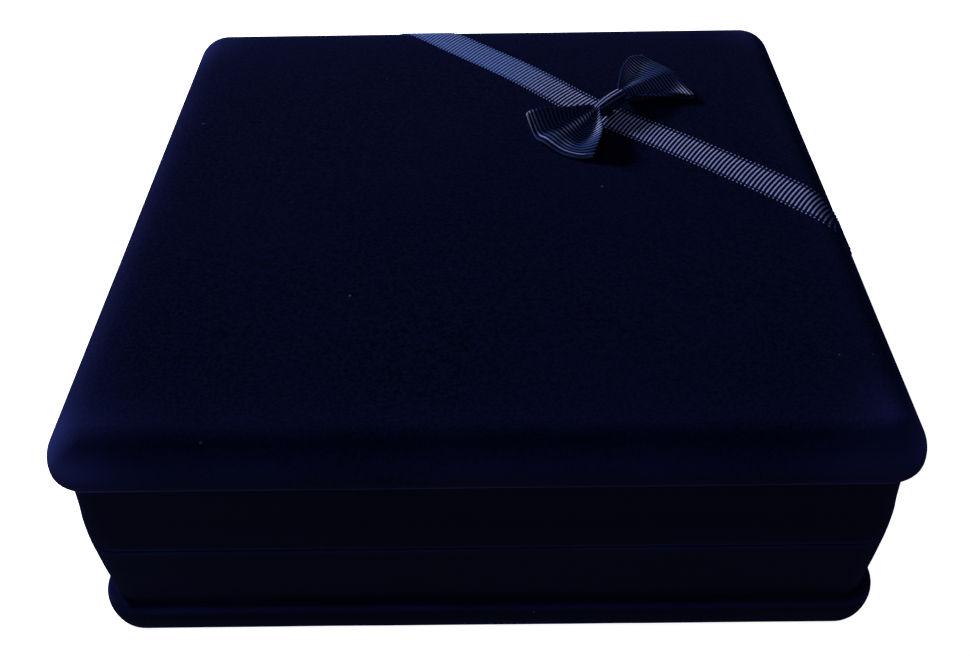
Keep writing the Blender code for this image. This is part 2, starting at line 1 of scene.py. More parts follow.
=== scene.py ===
"""Looks of the velvet jewelry gift box: velvet, grosgrain ribbon and bow, satin, card and brass.

Metres, +Z up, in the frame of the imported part. The front faces -Y and the hinges are at +Y.
"""

import json
import math

import bmesh
import bpy
import numpy as np
from mathutils import Matrix, Vector, noise


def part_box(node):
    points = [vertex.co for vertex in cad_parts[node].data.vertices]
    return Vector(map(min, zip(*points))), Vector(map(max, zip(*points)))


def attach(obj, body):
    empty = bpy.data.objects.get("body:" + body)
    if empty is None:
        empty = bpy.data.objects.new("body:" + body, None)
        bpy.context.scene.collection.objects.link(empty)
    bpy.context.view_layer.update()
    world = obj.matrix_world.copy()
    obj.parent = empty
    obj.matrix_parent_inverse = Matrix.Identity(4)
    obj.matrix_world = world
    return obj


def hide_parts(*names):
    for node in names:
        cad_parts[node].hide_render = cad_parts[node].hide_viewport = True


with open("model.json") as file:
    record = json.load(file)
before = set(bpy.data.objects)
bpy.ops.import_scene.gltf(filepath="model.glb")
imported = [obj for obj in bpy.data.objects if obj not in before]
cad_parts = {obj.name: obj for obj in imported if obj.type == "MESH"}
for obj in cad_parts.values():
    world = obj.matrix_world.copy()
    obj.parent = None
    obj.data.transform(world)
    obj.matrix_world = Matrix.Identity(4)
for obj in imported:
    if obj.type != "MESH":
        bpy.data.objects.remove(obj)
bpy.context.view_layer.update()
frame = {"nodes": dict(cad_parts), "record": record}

MM = 0.001

# Places that come from the frame
JOINTS = {joint["name"]: joint for joint in frame["record"]["behaviour"]["joints"]}
HINGE_Y, SEAM = JOINTS["lid_hinge"]["pos_m"][1:]
LID_LOW, LID_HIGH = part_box("lid_velvet_cover")
HALF = LID_HIGH[0]
LID_TOP = LID_HIGH[2]
BASE_LOW, BASE_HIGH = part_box("base_velvet_cover")

# The outside's section, as in the frame's solids
CORNER_RADIUS = 9.6 * MM
ROLL_WIDTH = 9.5 * MM
ROLL_BOTTOM = LID_TOP - 9.4 * MM
ROLL_HEIGHT = LID_TOP - ROLL_BOTTOM
LIP_BOTTOM = LID_TOP - 10.8 * MM
LIP_INSET = 1.4 * MM
CREASE_INSET = 3.3 * MM
LID_WALL_INSET = 2.45 * MM
SEAM_INSET = 1.8 * MM
BASE_WALL_INSET = 2.25 * MM
NECK_INSET = 3.0 * MM
FOOT_TOP = 10.2 * MM
FOOT_WIDEST = 6.6 * MM
FOOT_INSET = 0.2 * MM
SOLE_INSET = 3.0 * MM
SOLE_TURN_IN = 10.2 * MM
RIM_INSET = 4.8 * MM
RIM_FLAT = 1.2 * MM
EDGE_ROUND = 0.6 * MM
VELVET = 0.7 * MM
CROWN = 0.4 * MM
CROWNED_FROM = LID_TOP - 4 * MM
TOP_INSET = 8 * MM
CORNER_STEPS = 14
SIDE_STEPS = 26

# Ribbon and bow
RIBBON_TURN = math.radians(46)
RIBBON_FROM_CENTRE = 48.6 * MM
RIBBON_SLANT = 0.012
BOW_PULL = 2.3 * MM
BOW_PULL_REACH = 24 * MM
TURN_AFTER = 4.5 * MM
TURN_LENGTH = 8 * MM
LINE_REACH = 95 * MM
LINE_STEP = 0.2 * MM
RIBBON_WIDTH = 10 * MM
RIB_PITCH = 1.16 * MM
RIB_BOW = 0.3 * MM
RIB_HEIGHT = 0.2 * MM
EDGE_RISE = 0.08 * MM
PICOT = 0.24 * MM
EDGE_POWER = 8
SWAY = 0.12 * MM
SWAY_LENGTH = 7 * MM
BAND_LIFT = 0.10 * MM
# Painted sheen: the band's back left stretch goes to an even blue, starting this far from the bow.
PAINTED_HAZE_START = 14 * MM
PAINTED_HAZE_LENGTH = 24 * MM
# Painted shade on the band where it goes down the roll.
RIBBON_ROLL_PAINTED_SHADE = 0.93
RIBBON_ROLL_PAINTED_SHADE_BY = 6 * MM
BOW_RIB_PITCH = 1.1 * MM
BOW_FROM_CENTRE = 46.8 * MM
BOW_ASIDE = 1.7 * MM
BOW_RIBBON_WIDTH = 25 * MM
BOW_PICOT = 0.16 * MM
FOLD_OUT = 0.9 * MM
LOOP_ROWS = 150
# Painted highlight: how bright the bow's ribs are painted everywhere, and where on the knot they are
# painted lit.
LOOP_PAINTED_HIGHLIGHT = 0.13
KNOT_LIT_AT = math.radians(98)
KNOT_LIT_REACH = math.radians(42)
CLOTH = 0.28 * MM
OUTWARD = Vector((math.cos(RIBBON_TURN), math.sin(RIBBON_TURN), 0))
SIDEWAYS = Vector((math.sin(RIBBON_TURN), -math.cos(RIBBON_TURN), 0))

# Inside
HOOK_RADIUS = 7 * MM
HOOK_TAIL = 5 * MM
HOOK_CURL = 1.3 * MM
TUCK_DEPTH = 1.1 * MM
TUCK_REACH = 9 * MM
SLOT_DEPTH = 5.0 * MM
NECK_RADIUS = 44 * MM
NECK_DEPTH = 1.3 * MM
TAB_THICKNESS = 0.3 * MM


# ---- materials

OUTER_DARK = (0.0003, 0.0005, 0.0034)
OUTER_LIGHT = (0.0016, 0.0022, 0.0128)
OUTER_SHEEN = 0.018
INNER_SHEEN = 0.05
INNER_DARK = (0.0024, 0.0034, 0.0155)
INNER_LIGHT = (0.0070, 0.0092, 0.0390)
SHEEN_TINT = (0.22, 0.28, 1.0, 1.0)
LINT_COLOUR = (0.10, 0.11, 0.15)
# Painted sheen: the pile is painted paler along the lips and rims, over the roll and at the lid's
# corners.
PAINTED_SHEEN_GAIN = 7.5
CORNER_PAINTED_SHEEN = 0.7
CORNER_PAINTED_SHEEN_REACH = 13 * MM
ROLL_PAINTED_SHEEN = 0.13
# Painted shade: the outside's upright faces are painted darker than the top, by these shares of the
# light pile colour.
UPRIGHT_PAINTED_SHADE = (1.15, 0.75, 0.33)
UPRIGHT_PAINTED_SHADE_SHARE = 0.75
# Painted light on the grosgrain: near black painted shade in the grooves, a dim colour for unlit ribs
# and painted highlights on the crests.
PAINTED_GROOVE_SHADE = (0.0016, 0.0040, 0.030)
RIB_SHADE = (0.034, 0.052, 0.145)
PAINTED_RIDGE_HIGHLIGHT = (0.265, 0.282, 0.485)
# Painted sheen: the even blue that the grosgrain goes to on its back left stretch.
PAINTED_HAZE_GROOVE = (0.028, 0.052, 0.180)
PAINTED_HAZE_RIDGE = (0.105, 0.148, 0.34)
BRASS = (0.78, 0.60, 0.28)
TARNISH = (0.42, 0.27, 0.11)


class Nodes:
    """A short way to write a material's node tree."""

    def __init__(self, name, colour, roughness, specular=0.5, metallic=0.0):
        self.material = bpy.data.materials.new(name)
        self.material.use_nodes = True
        self.tree = self.material.node_tree
        self.shader = self.tree.nodes["Principled BSDF"]
        self.set("Base Color", (*colour, 1.0))
        self.set("Roughness", roughness)
        self.set("Specular IOR Level", specular)
        self.set("Metallic", metallic)
        coordinates = self.add("ShaderNodeTexCoord").outputs
        self.place, self.facing = coordinates["Object"], coordinates["Normal"]

    def set(self, socket, value):
        self.feed(self.shader.inputs[socket], value)

    def add(self, kind, **inputs):
        """A new node. The inputs are named as its sockets are, with _ for a space."""
        made = self.tree.nodes.new(kind)
        for socket, value in inputs.items():
            self.feed(made.inputs[socket.replace("_", " ")], value)
        return made

    def feed(self, socket, value):
        if isinstance(value, bpy.types.NodeSocket):
            self.tree.links.new(value, socket)
        else:
            socket.default_value = value

    def noise(self, scale, detail=2.0, roughness=0.5, place=None):
        settings = {"Scale": scale, "Detail": detail, "Roughness": roughness}
        return self.add("ShaderNodeTexNoise", Vector=place or self.place, **settings).outputs["Fac"]

    def cells(self, scale, place=None):
        made = self.add("ShaderNodeTexVoronoi", Vector=place or self.place, Scale=scale)
        return made.outputs["Distance"]

    def stretched(self, scale, turn=0.0, place=None):
        settings = {"Scale": scale, "Rotation": (0.0, 0.0, turn)}
        return self.add("ShaderNodeMapping", Vector=place or self.place, **settings).outputs["Vector"]

    def ramp(self, value, stops):
        """Colours or greys along value: stops are (position, colour) pairs."""
        made = self.add("ShaderNodeValToRGB")
        self.feed(made.inputs["Fac"], value)
        elements = made.color_ramp.elements
        while len(elements) < len(stops):
            elements.new(0.5)
        for element, (position, colour) in zip(elements, stops):
            element.position = position
            element.color = (*colour, 1.0) if isinstance(colour, tuple) else (colour,) * 3 + (1.0,)
        return made.outputs["Color"]

    def spread(self, value, low, high, to_low, to_high):
        """The value moved from the range low to high to another range, and held inside it."""
        limits = {"From_Min": low, "From_Max": high, "To_Min": to_low, "To_Max": to_high}
        return self.add("ShaderNodeMapRange", Value=value, **limits).outputs["Result"]

    def maths(self, operation, first, second=0.0):
        made = self.add("ShaderNodeMath")
        made.operation = operation
        self.feed(made.inputs[0], first)
        self.feed(made.inputs[1], second)
        return made.outputs["Value"]

    def mix(self, share, first, second):
        made = self.add("ShaderNodeMix")
        made.data_type = "RGBA"
        self.feed(made.inputs[0], share)
        colours = [socket for socket in made.inputs if socket.type == "RGBA"]
        for socket, colour in zip(colours, (first, second)):
            self.feed(socket, colour if isinstance(colour, bpy.types.NodeSocket) else (*colour, 1.0))
        return next(socket for socket in made.outputs if socket.type == "RGBA")

    def attribute(self, name):
        made = self.add("ShaderNodeAttribute")
        made.attribute_name = name
        return made.outputs["Fac"]

    def done(self, colour, height, strength, distance, roughness=None):
        """The material, once its colour, bump and any varying roughness are wired in."""
        bump = self.add("ShaderNodeBump", Strength=strength, Distance=distance, Height=height)
        self.set("Normal", bump.outputs["Normal"])
        self.set("Base Color", colour)
        if roughness:
            self.set("Roughness", roughness)
        return self.material


def velvet(name, dark, light, sheen, dust=True, upright_shade=0.0):
    """Flocked velvet: very dark pile with a fine grain, faint clouds, paler places of painted sheen and
    a few specks.

    The last argument says how far upright faces go to a darker colour: painted shade, as upright faces
    get less light than the top.
    """
    m = Nodes(name, dark, 1.0, 0.0)
    m.set("Sheen Weight", sheen)
    m.set("Sheen Roughness", 0.5)
    m.set("Sheen Tint", SHEEN_TINT)
    fine = m.noise(3600.0, 3.0, 0.7)
    tufts = m.noise(1300.0, 2.0, 0.6)
    clouds = m.noise(17.0, 4.0, 0.6)
    grain = m.maths("ADD", m.maths("MULTIPLY", fine, 0.35), m.maths("MULTIPLY", tufts, 0.65))
    pile = m.spread(grain, 0.40, 0.60, 0.0, 1.0)
    drift = m.spread(clouds, 0.42, 0.75, 0.0, 0.5)
    pile_colour = m.mix(pile, dark, light)
    pile_colour = m.mix(drift, pile_colour, light)
    painted_lit_pile = tuple(channel * PAINTED_SHEEN_GAIN for channel in light)
    # Painted sheen: the pile is paler where the vertex numbers mark the edges, roll and corners that
    # catch the light.
    pile_colour = m.mix(m.attribute("painted_sheen"), pile_colour, painted_lit_pile)
    if dust:
        pile_colour = m.mix(m.maths("MULTIPLY", lint(m), 0.3), pile_colour, LINT_COLOUR)
    # Painted shade: the pile is darker on upright faces, by how far they turn from up.
    upward = m.maths("ABSOLUTE", m.add("ShaderNodeSeparateXYZ", Vector=m.facing).outputs["Z"])
    painted_upright_shade = tuple(share * channel for share, channel in zip(UPRIGHT_PAINTED_SHADE, light))
    pile_colour = m.mix(m.spread(upward, 0.10, 0.50, upright_shade, 0.0), pile_colour, painted_upright_shade)
    return m.done(pile_colour, m.maths("ADD", grain, m.maths("MULTIPLY", clouds, 0.5)), 0.6, 0.3 * MM)


def lint(m):
    """Shares for a few pale specks and short fibres lying on the pile."""
    specks = m.ramp(m.cells(150.0), ((0.0, 1.0), (0.035, 1.0), (0.05, 0.0)))
    sparse = m.ramp(m.noise(41.0, 1.0), ((0.0, 0.0), (0.62, 0.0), (0.66, 1.0)))
    strands = m.cells(210.0, m.stretched((1.0, 0.09, 1.0), 0.9))
    fibres = m.ramp(strands, ((0.0, 1.0), (0.02, 0.7), (0.04, 0.0)))
    rare = m.ramp(m.noise(23.0, 1.0, 0.5), ((0.0, 0.0), (0.66, 0.0), (0.69, 0.6)))
    return m.maths("MAXIMUM", m.maths("MULTIPLY", specks, sparse), m.maths("MULTIPLY", fibres, rare))


def grosgrain(name):
    """Ribbed ribbon: fine warp threads run over ribs that the mesh holds, painted near black in the
    grooves (painted shade) and lighter on the crests (painted highlight).

    A number on each vertex sets how strong the painted highlights on the ribs are, and another how far a
    stretch goes to an even blue, a painted sheen.
    """
    m = Nodes(name, PAINTED_RIDGE_HIGHLIGHT, 0.42, 0.0)
    threads = m.stretched((300.0, 4200.0, 1.0), 0.0, m.add("ShaderNodeUVMap").outputs["UV"])
    thread = m.noise(1.0, 2.0, 0.6, threads)
    # The crests are painted lighter and the grooves darker: painted highlight and painted shade.
    crest = m.spread(m.attribute("rib"), 0.70, 1.0, 0.0, 1.0)
    lit = m.maths("MULTIPLY", crest, m.spread(thread, 0.3, 0.7, 0.7, 1.15))
    lit = m.maths("MULTIPLY", lit, m.attribute("painted_highlight"))
    clear = m.ramp(lit, ((0.0, PAINTED_GROOVE_SHADE), (0.25, RIB_SHADE), (1.0, PAINTED_RIDGE_HIGHLIGHT)))
    # Painted sheen: the ribs and grooves hazed to an even blue.
    painted_hazy = m.ramp(lit, ((0.0, PAINTED_HAZE_GROOVE), (1.0, PAINTED_HAZE_RIDGE)))
    colour = m.mix(m.attribute("painted_haze"), clear, painted_hazy)
    return m.done(colour, thread, 0.4, 0.08 * MM, m.spread(thread, 0.3, 0.7, 0.34, 0.52))


def satin(name, colour, shadow, sheen=0.25, gloss=0.5):
    """Satin: long floats with a soft directional gloss."""
    m = Nodes(name, colour, 0.38, gloss)
    m.set("Sheen Weight", sheen)
    m.set("Sheen Roughness", 0.3)
    m.set("Anisotropic", 0.55)
    floats = m.noise(1.0, 2.0, 0.5, m.stretched((2600.0, 260.0, 2600.0)))
    clouds = m.noise(30.0, 3.0)
    colour = m.mix(m.spread(floats, 0.3, 0.75, 0.0, 0.55), colour, shadow)
    return m.done(colour, floats, 0.25, 0.06 * MM, m.spread(clouds, 0.3, 0.7, 0.30, 0.46))


def paper_card(name, colour, fleck):
    """Board faced with embossed paper, with cut fibres and a fine leather-like grain."""
    m = Nodes(name, colour, 0.8, 0.25)
    fibre = m.noise(1.0, 3.0, 0.6, m.stretched((500.0, 90.0, 500.0), 0.4))
    colour = m.mix(m.spread(fibre, 0.45, 0.75, 0.0, 0.5), colour, fleck)
    return m.done(colour, m.cells(900.0), 0.5, 0.15 * MM, m.spread(m.noise(60.0), 0.3, 0.7, 0.7, 0.9))


def moulding(name, colour):
    """Injection-moulded styrene with a spark-eroded grain and faint flow marks."""
    m = Nodes(name, colour, 0.5)
    flow = m.noise(1.0, 3.0, 0.5, m.stretched((20.0, 90.0, 20.0), 0.3))
    paler = tuple(channel * 1.7 for channel in colour)
    colour = m.mix(m.spread(flow, 0.4, 0.8, 0.0, 0.4), colour, paler)
    return m.done(colour, m.noise(2600.0), 0.3, 0.05 * MM, m.spread(flow, 0.3, 0.7, 0.42, 0.6))


def brass(name):
    """Stamped brass, drawn lines along the strip and a little tarnish."""
    m = Nodes(name, BRASS, 0.3, metallic=1.0)
    lines = m.noise(1.0, 2.0, 0.6, m.stretched((120.0, 4000.0, 4000.0)))
    colour = m.mix(m.spread(m.noise(260.0, 4.0, 0.6), 0.45, 0.75, 0.0, 0.7), BRASS, TARNISH)
    return m.done(colour, lines, 0.2, 0.03 * MM, m.spread(lines, 0.3, 0.7, 0.22, 0.42))


def foam(name):
    """Cut open-cell foam."""
    m = Nodes(name, (0.02, 0.02, 0.024), 0.95, 0.1)
    pores = m.cells(1400.0)
    colour = m.mix(m.spread(pores, 0.2, 0.7, 0.0, 1.0), (0.004, 0.004, 0.005), (0.026, 0.026, 0.030))
    return m.done(colour, pores, 0.9, 0.3 * MM)


def glue(name):
    """A drop of set clear glue, dark from the cloth it has soaked into."""
    m = Nodes(name, (0.012, 0.015, 0.035), 0.3)
    colour = m.mix(m.noise(700.0), (0.008, 0.011, 0.030), (0.022, 0.026, 0.055))
    return m.done(colour, m.noise(400.0), 0.3, 0.1 * MM)


# ---- mesh helpers


def node_box(node):
    """The low and high corners of a frame node's box."""
    return [Vector(corner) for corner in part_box(node)]


def linked(name, data):
    """A new object for some data, in the scene."""
    made = bpy.data.objects.new(name, data)
    bpy.context.scene.collection.objects.link(made)
    return made


def drawn(name, builder):
    """The builder's mesh; the builder is freed."""
    mesh = bpy.data.meshes.new(name)
    builder.to_mesh(mesh)
    builder.free()
    return mesh


def box_builder(size):
    """A builder that holds a box of this size about the origin."""
    builder = bmesh.new()
    bmesh.ops.create_cube(builder, size=1.0)
    bmesh.ops.transform(builder, matrix=Matrix.Diagonal((*size, 1.0)), verts=builder.verts)
    return builder


def piece(name, mesh, material, body):
    """A smooth-shaded piece that rides with a body."""
    made = linked(name, mesh)
    mesh.materials.append(material)
    mesh.shade_smooth()
    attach(made, body)
    return made


def mesh_object(name, points, faces, material, body, smooth_angle=None):
    """A piece from points and faces, sharp where its faces meet at more than smooth_angle degrees."""
    mesh = bpy.data.meshes.new(name)
    mesh.from_pydata([tuple(p) for p in points], [], faces)
    mesh.validate()
    builder = bmesh.new()
    builder.from_mesh(mesh)
    bmesh.ops.recalc_face_normals(builder, faces=builder.faces)
    builder.to_mesh(mesh)
    builder.free()
    made = piece(name, mesh, material, body)
    if smooth_angle is not None:
        mesh.set_sharp_from_angle(angle=math.radians(smooth_angle))
    return made


def grid_faces(rows, columns, wrap_rows=False, wrap_columns=False):
    """Quads of a grid whose points are numbered row by row."""
    faces = []
    for r in range(rows if wrap_rows else rows - 1):
        for c in range(columns if wrap_columns else columns - 1):
            start, after = r * columns, (r + 1) % rows * columns
            after_c = (c + 1) % columns
            faces.append((start + c, start + after_c, after + after_c, after + c))
    return faces


def tube_faces(rings, around):
    """Faces of a closed tube whose points are numbered ring by ring, with a cap at each end."""
    caps = [tuple(range(first, first + around)) for first in (0, (rings - 1) * around)]
    return grid_faces(rings, around, wrap_columns=True) + caps


def border_of(rows, columns):
    """The vertex numbers round a grid's edge, in order."""
    border = list(range(columns)) + [i * columns + columns - 1 for i in range(1, rows)]
    border += [rows * columns - 1 - j for j in range(1, columns)]
    return border + [i * columns for i in range(rows - 2, 0, -1)]


def slab_faces(rows, columns):
    """Faces of a closed slab from two grids of points: the upper grid first, then the lower."""
    count = rows * columns
    faces = [tuple(reversed(face)) for face in grid_faces(rows, columns)]
    faces += [tuple(v + count for v in face) for face in grid_faces(rows, columns)]
    border = border_of(rows, columns)
    return faces + [(a, b, b + count, a + count) for a, b in zip(border, border[1:] + border[:1])]


def vertex_number(made, name, values):
    """Keep a number for each vertex, for the material to read."""
    values = np.asarray(values, np.float32)
    made.data.attributes.new(name, "FLOAT", "POINT").data.foreach_set("value", values)


def lay_uv(made, uv):
    """Give each vertex its place on the flat cloth."""
    layer = made.data.uv_layers.new(name="UVMap")
    corner = np.empty(len(made.data.loops), np.int32)
    made.data.loops.foreach_get("vertex_index", corner)
    layer.data.foreach_set("uv", uv.reshape(-1, 2)[corner].astype(np.float32).reshape(-1))


def thicken(made, thickness, offset):
    """Give a sheet its thickness: offset -1 puts it all behind the surface, 0 half each way."""
    modifier = made.modifiers.new("thickness", "SOLIDIFY")
    modifier.thickness = thickness
    modifier.offset = offset


def subdivide(made):
    modifier = made.modifiers.new("smooth", "SUBSURF")
    modifier.levels = modifier.render_levels = 1


def applied(made):
    """Replace the object's mesh by its evaluated one and drop the modifiers."""
    evaluated = made.evaluated_get(bpy.context.evaluated_depsgraph_get())
    mesh = bpy.data.meshes.new_from_object(evaluated)
    made.modifiers.clear()
    made.data = mesh
    return made


def arc(centre, radii, start, end, steps):
    """Points on an ellipse in the (inset, height) plane, from angle start to end in degrees."""
    points = []
    for i in range(steps + 1):
        angle = math.radians(start + (end - start) * i / steps)
        points.append((centre[0] + radii[0] * math.cos(angle), centre[1] + radii[1] * math.sin(angle)))
    return points


def curve_through(points, steps):
    """A smooth curve through (inset, height) points, as Catmull-Rom pieces."""
    padded = [points[0], *points, points[-1]]
    made = []
    for before, start, end, after in zip(padded, padded[1:], padded[2:], padded[3:]):
        for i in range(steps):
            t = i / steps
            made.append(tuple(catmull(before[k], start[k], end[k], after[k], t) for k in (0, 1)))
    return made + [points[-1]]


def catmull(before, start, end, after, t):
    """The Catmull-Rom curve from start to end, at t from 0 to 1."""
    return 0.5 * (
        2 * start
        + (end - before) * t
        + (2 * before - 5 * start + 4 * end - after) * t**2
        + (3 * start - before - 3 * end + after) * t**3
    )


def unit(vectors):
    return vectors / (np.linalg.norm(vectors, axis=-1, keepdims=True) + 1e-12)


def lengths_along(points):
    """How far along a path each of its points is."""
    return np.concatenate([[0.0], np.cumsum(np.linalg.norm(np.diff(points, axis=0), axis=1))])


def outline(inset):
    """Points round the box's plan, moved in by inset, the same count at each inset."""
    half = HALF - inset
    radius = max(CORNER_RADIUS - inset, 1.0 * MM)
    flat = half - radius
    quarter = arc((flat, flat), (radius, radius), 0, 90, CORNER_STEPS)
    quarter += [(flat - 2 * flat * i / SIDE_STEPS, half) for i in range(1, SIDE_STEPS)]
    turns = [Matrix.Rotation(corner * math.pi / 2, 2) for corner in range(4)]
    return [turn @ Vector(spot) for turn in turns for spot in quarter]


def crown(x, y):
    """How far the top swells at a place: most in the middle, nothing at the edges."""
    return CROWN * np.maximum(0, 1 - (x / HALF) ** 2) * np.maximum(0, 1 - (y / HALF) ** 2)


def bell(distance, reach):
    """1 at no distance, falling softly to nothing past the reach."""
    return np.exp(-((distance / reach) ** 2))


# ---- velvet covers


def wavy(point):
    """Cloth over card is never quite flat: it strays by up to about a tenth of a millimetre."""
    return noise.noise(point * 38.0) * 0.10 * MM + noise.noise(point * 140.0) * 0.03 * MM


def covered(body, outside, inside, closed_top, edges):
    """A body's velvet skin, lofted round the box from an outer and an inner section.

    Each edge is (height, width, strength) of an edge with painted sheen, where the pile is paler.
    """
    section = outside + inside
    points, painted_sheen = [], []
    for number, (inset, height) in enumerate(section):
        shown = number < len(outside)
        for spot in outline(inset):
            point = Vector((spot.x, spot.y, height))
            if height > CROWNED_FROM:
                point.z += crown(spot.x, spot.y)
            if shown and inset < TOP_INSET:
                point += Vector((spot.x, spot.y, 0)).normalized() * wavy(point)
            elif shown and height > SEAM:
                point.z += 0.8 * wavy(point)
            points.append(point)
            painted_sheen.append(painted_lit_pile(spot, inset, height, edges) if shown else 0.0)
    rows = len(section)
    columns = len(points) // rows
    faces = grid_faces(rows, columns, wrap_rows=True, wrap_columns=True)
    if closed_top:
        last_shown = len(outside) - 1
        faces = [face for face in faces if face[0] // columns != last_shown]
        for row in (last_shown, last_shown + 1):
            faces.append(tuple(range(row * columns, (row + 1) * columns)))
    material = velvet(f"outer_velvet_{body}", OUTER_DARK, OUTER_LIGHT, OUTER_SHEEN, upright_shade=UPRIGHT_PAINTED_SHADE_SHARE)
    made = mesh_object(f"{body}_velvet", points, faces, material, body, 50)
    # The share of painted sheen at each vertex, for the material.
    vertex_number(made, "painted_sheen", painted_sheen)
    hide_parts(f"{body}_velvet_cover")
    return made


def painted_lit_pile(spot, inset, height, edges):
    """How much painted sheen the pile gets: along the lips and rims, over the roll, and most at the
    lid's corners.
    """
    along_edge = max(strength * bell(height - at, width) for at, width, strength in edges)
    corner = Vector((HALF - abs(spot.x), HALF - abs(spot.y))).length
    at_corner = CORNER_PAINTED_SHEEN * bell(corner, CORNER_PAINTED_SHEEN_REACH) * (height > ROLL_BOTTOM - 3 * MM)
    on_roll = ROLL_PAINTED_SHEEN * bell(inset, ROLL_WIDTH) * (height > ROLL_BOTTOM)
    patch = 0.75 + 0.5 * noise.noise(Vector((spot.x * 60, spot.y * 60, height * 60)))
    return min(1.0, (along_edge + at_corner + on_roll) * patch)


def lid_velvet():
    """The lid's cover, by (inset, height): rim, wall, crease, lip, roll and top, then back inside."""
    rim = LID_LOW[2]
    outside = [(RIM_INSET, rim), (RIM_INSET - RIM_FLAT, rim)]
    outside += arc((SEAM_INSET + EDGE_ROUND, rim + EDGE_ROUND), (EDGE_ROUND, EDGE_ROUND), 270, 180, 5)
    wall = [
        (SEAM_INSET, rim + 1.5 * MM),
        (SEAM_INSET + 0.15 * MM, rim + 6 * MM),
        (LID_WALL_INSET, (SEAM + LIP_BOTTOM) / 2),
        (CREASE_INSET - 0.4 * MM, LIP_BOTTOM - 4 * MM),
        (CREASE_INSET, LIP_BOTTOM - 0.25 * MM),
    ]
    outside += curve_through(wall, 5)
    outside += arc((LIP_INSET + 0.5 * MM, LIP_BOTTOM + 0.35 * MM), (0.5 * MM, 0.35 * MM), 320, 270, 2)
    outside += arc((LIP_INSET, ROLL_BOTTOM), (LIP_INSET, ROLL_BOTTOM - LIP_BOTTOM), 262, 180, 7)
    outside += arc((ROLL_WIDTH, ROLL_BOTTOM), (ROLL_WIDTH, ROLL_HEIGHT), 180, 90, 18)[1:]
    outside += [(inset * MM, LID_TOP) for inset in (12, 16, 21, 28, 36, 45, 54, 63, 71, 78, 84)]
    inside = [(inset * MM, LID_TOP - VELVET) for inset in (84, 40, 12)]
    inside += arc((ROLL_WIDTH, ROLL_BOTTOM), (ROLL_WIDTH - VELVET, ROLL_HEIGHT - VELVET), 90, 180, 8)
    inside += [(CREASE_INSET + VELVET, LIP_BOTTOM)]
    inside += [(SEAM_INSET + VELVET, rim + VELVET), (RIM_INSET, rim + VELVET)]
    edges = ((LIP_BOTTOM + 0.5 * MM, 0.9 * MM, 0.40), (rim + 0.3 * MM, 0.7 * MM, 0.28))
    return covered("lid", outside, inside, True, edges)


def base_velvet():
    """The base's cover, by (inset, height): sole, foot, neck, wall and rim, then back inside."""
    rim, sole = BASE_HIGH[2], BASE_LOW[2]
    top_round = 1.4 * MM
    foot_round = (SOLE_INSET - FOOT_INSET, FOOT_WIDEST - sole)
    outside = [(SOLE_TURN_IN, sole), (6.5 * MM, sole)]
    outside += arc((SOLE_INSET, FOOT_WIDEST), foot_round, 270, 180, 9)
    shoulder = (top_round, FOOT_TOP - FOOT_WIDEST)
    outside += arc((FOOT_INSET + top_round, FOOT_WIDEST), shoulder, 175, 95, 6)
    outside += [(NECK_INSET - 0.3 * MM, FOOT_TOP + 0.08 * MM)]
    wall = [
        (NECK_INSET, FOOT_TOP + 0.5 * MM),
        (NECK_INSET - 0.25 * MM, FOOT_TOP + 4 * MM),
        (BASE_WALL_INSET, (FOOT_TOP + SEAM) / 2),
        (SEAM_INSET + 0.05 * MM, rim - 2 * MM),
    ]
    outside += curve_through(wall, 5)
    outside += arc((SEAM_INSET + EDGE_ROUND, rim - EDGE_ROUND), (EDGE_ROUND, EDGE_ROUND), 180, 90, 5)
    outside += [(RIM_INSET - RIM_FLAT, rim), (RIM_INSET, rim)]
    inside = [(RIM_INSET, rim - VELVET), (SEAM_INSET + VELVET, rim - VELVET)]
    inside += [(BASE_WALL_INSET + VELVET, (FOOT_TOP + SEAM) / 2), (NECK_INSET + VELVET, FOOT_TOP + MM)]
    inside += [(FOOT_INSET + 1.6 * MM, FOOT_TOP - VELVET), (FOOT_INSET + VELVET, FOOT_WIDEST)]
    inside += [(1.6 * MM, 2.6 * MM), (3.6 * MM, sole + VELVET), (SOLE_TURN_IN, sole + VELVET)]
    edges = ((rim - 0.3 * MM, 0.8 * MM, 0.28), (FOOT_TOP - 0.6 * MM, 1.0 * MM, 0.25))
    return covered("base", outside, inside, False, edges)


def cut_hinge_notches(covers):
    """Notches in both rims for the hinge tabs and knuckles."""
    clear, deep, tall = 0.6 * MM, 9 * MM, 3.9 * MM
    for side in ("left", "right"):
        low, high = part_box(f"base_hinge_leaf_{side}")
        builder = box_builder((high[0] - low[0] + clear, deep, tall))
        middle = Vector(((high[0] + low[0]) / 2, HINGE_Y, SEAM))
        bmesh.ops.translate(builder, vec=middle, verts=builder.verts)
        tool = linked("notch", drawn("notch", builder))
        for cover in covers:
            boolean = cover.modifiers.new("notch", "BOOLEAN")
            boolean.object = tool
            boolean.solver = "EXACT"
            applied(cover)
        bpy.data.objects.remove(tool, do_unlink=True)


# ---- ribbon


def crowded(count):
    """Shares from -1 to 1, closer together near the ends."""
    return np.sin(np.linspace(-math.pi / 2, math.pi / 2, count))[None, :]


def rib_wave(length, pitch):
    """Height share of a rib at a length along the ribbon: rounded ridges with tight grooves."""
    return np.abs(np.sin(np.pi * np.asarray(length) / pitch))


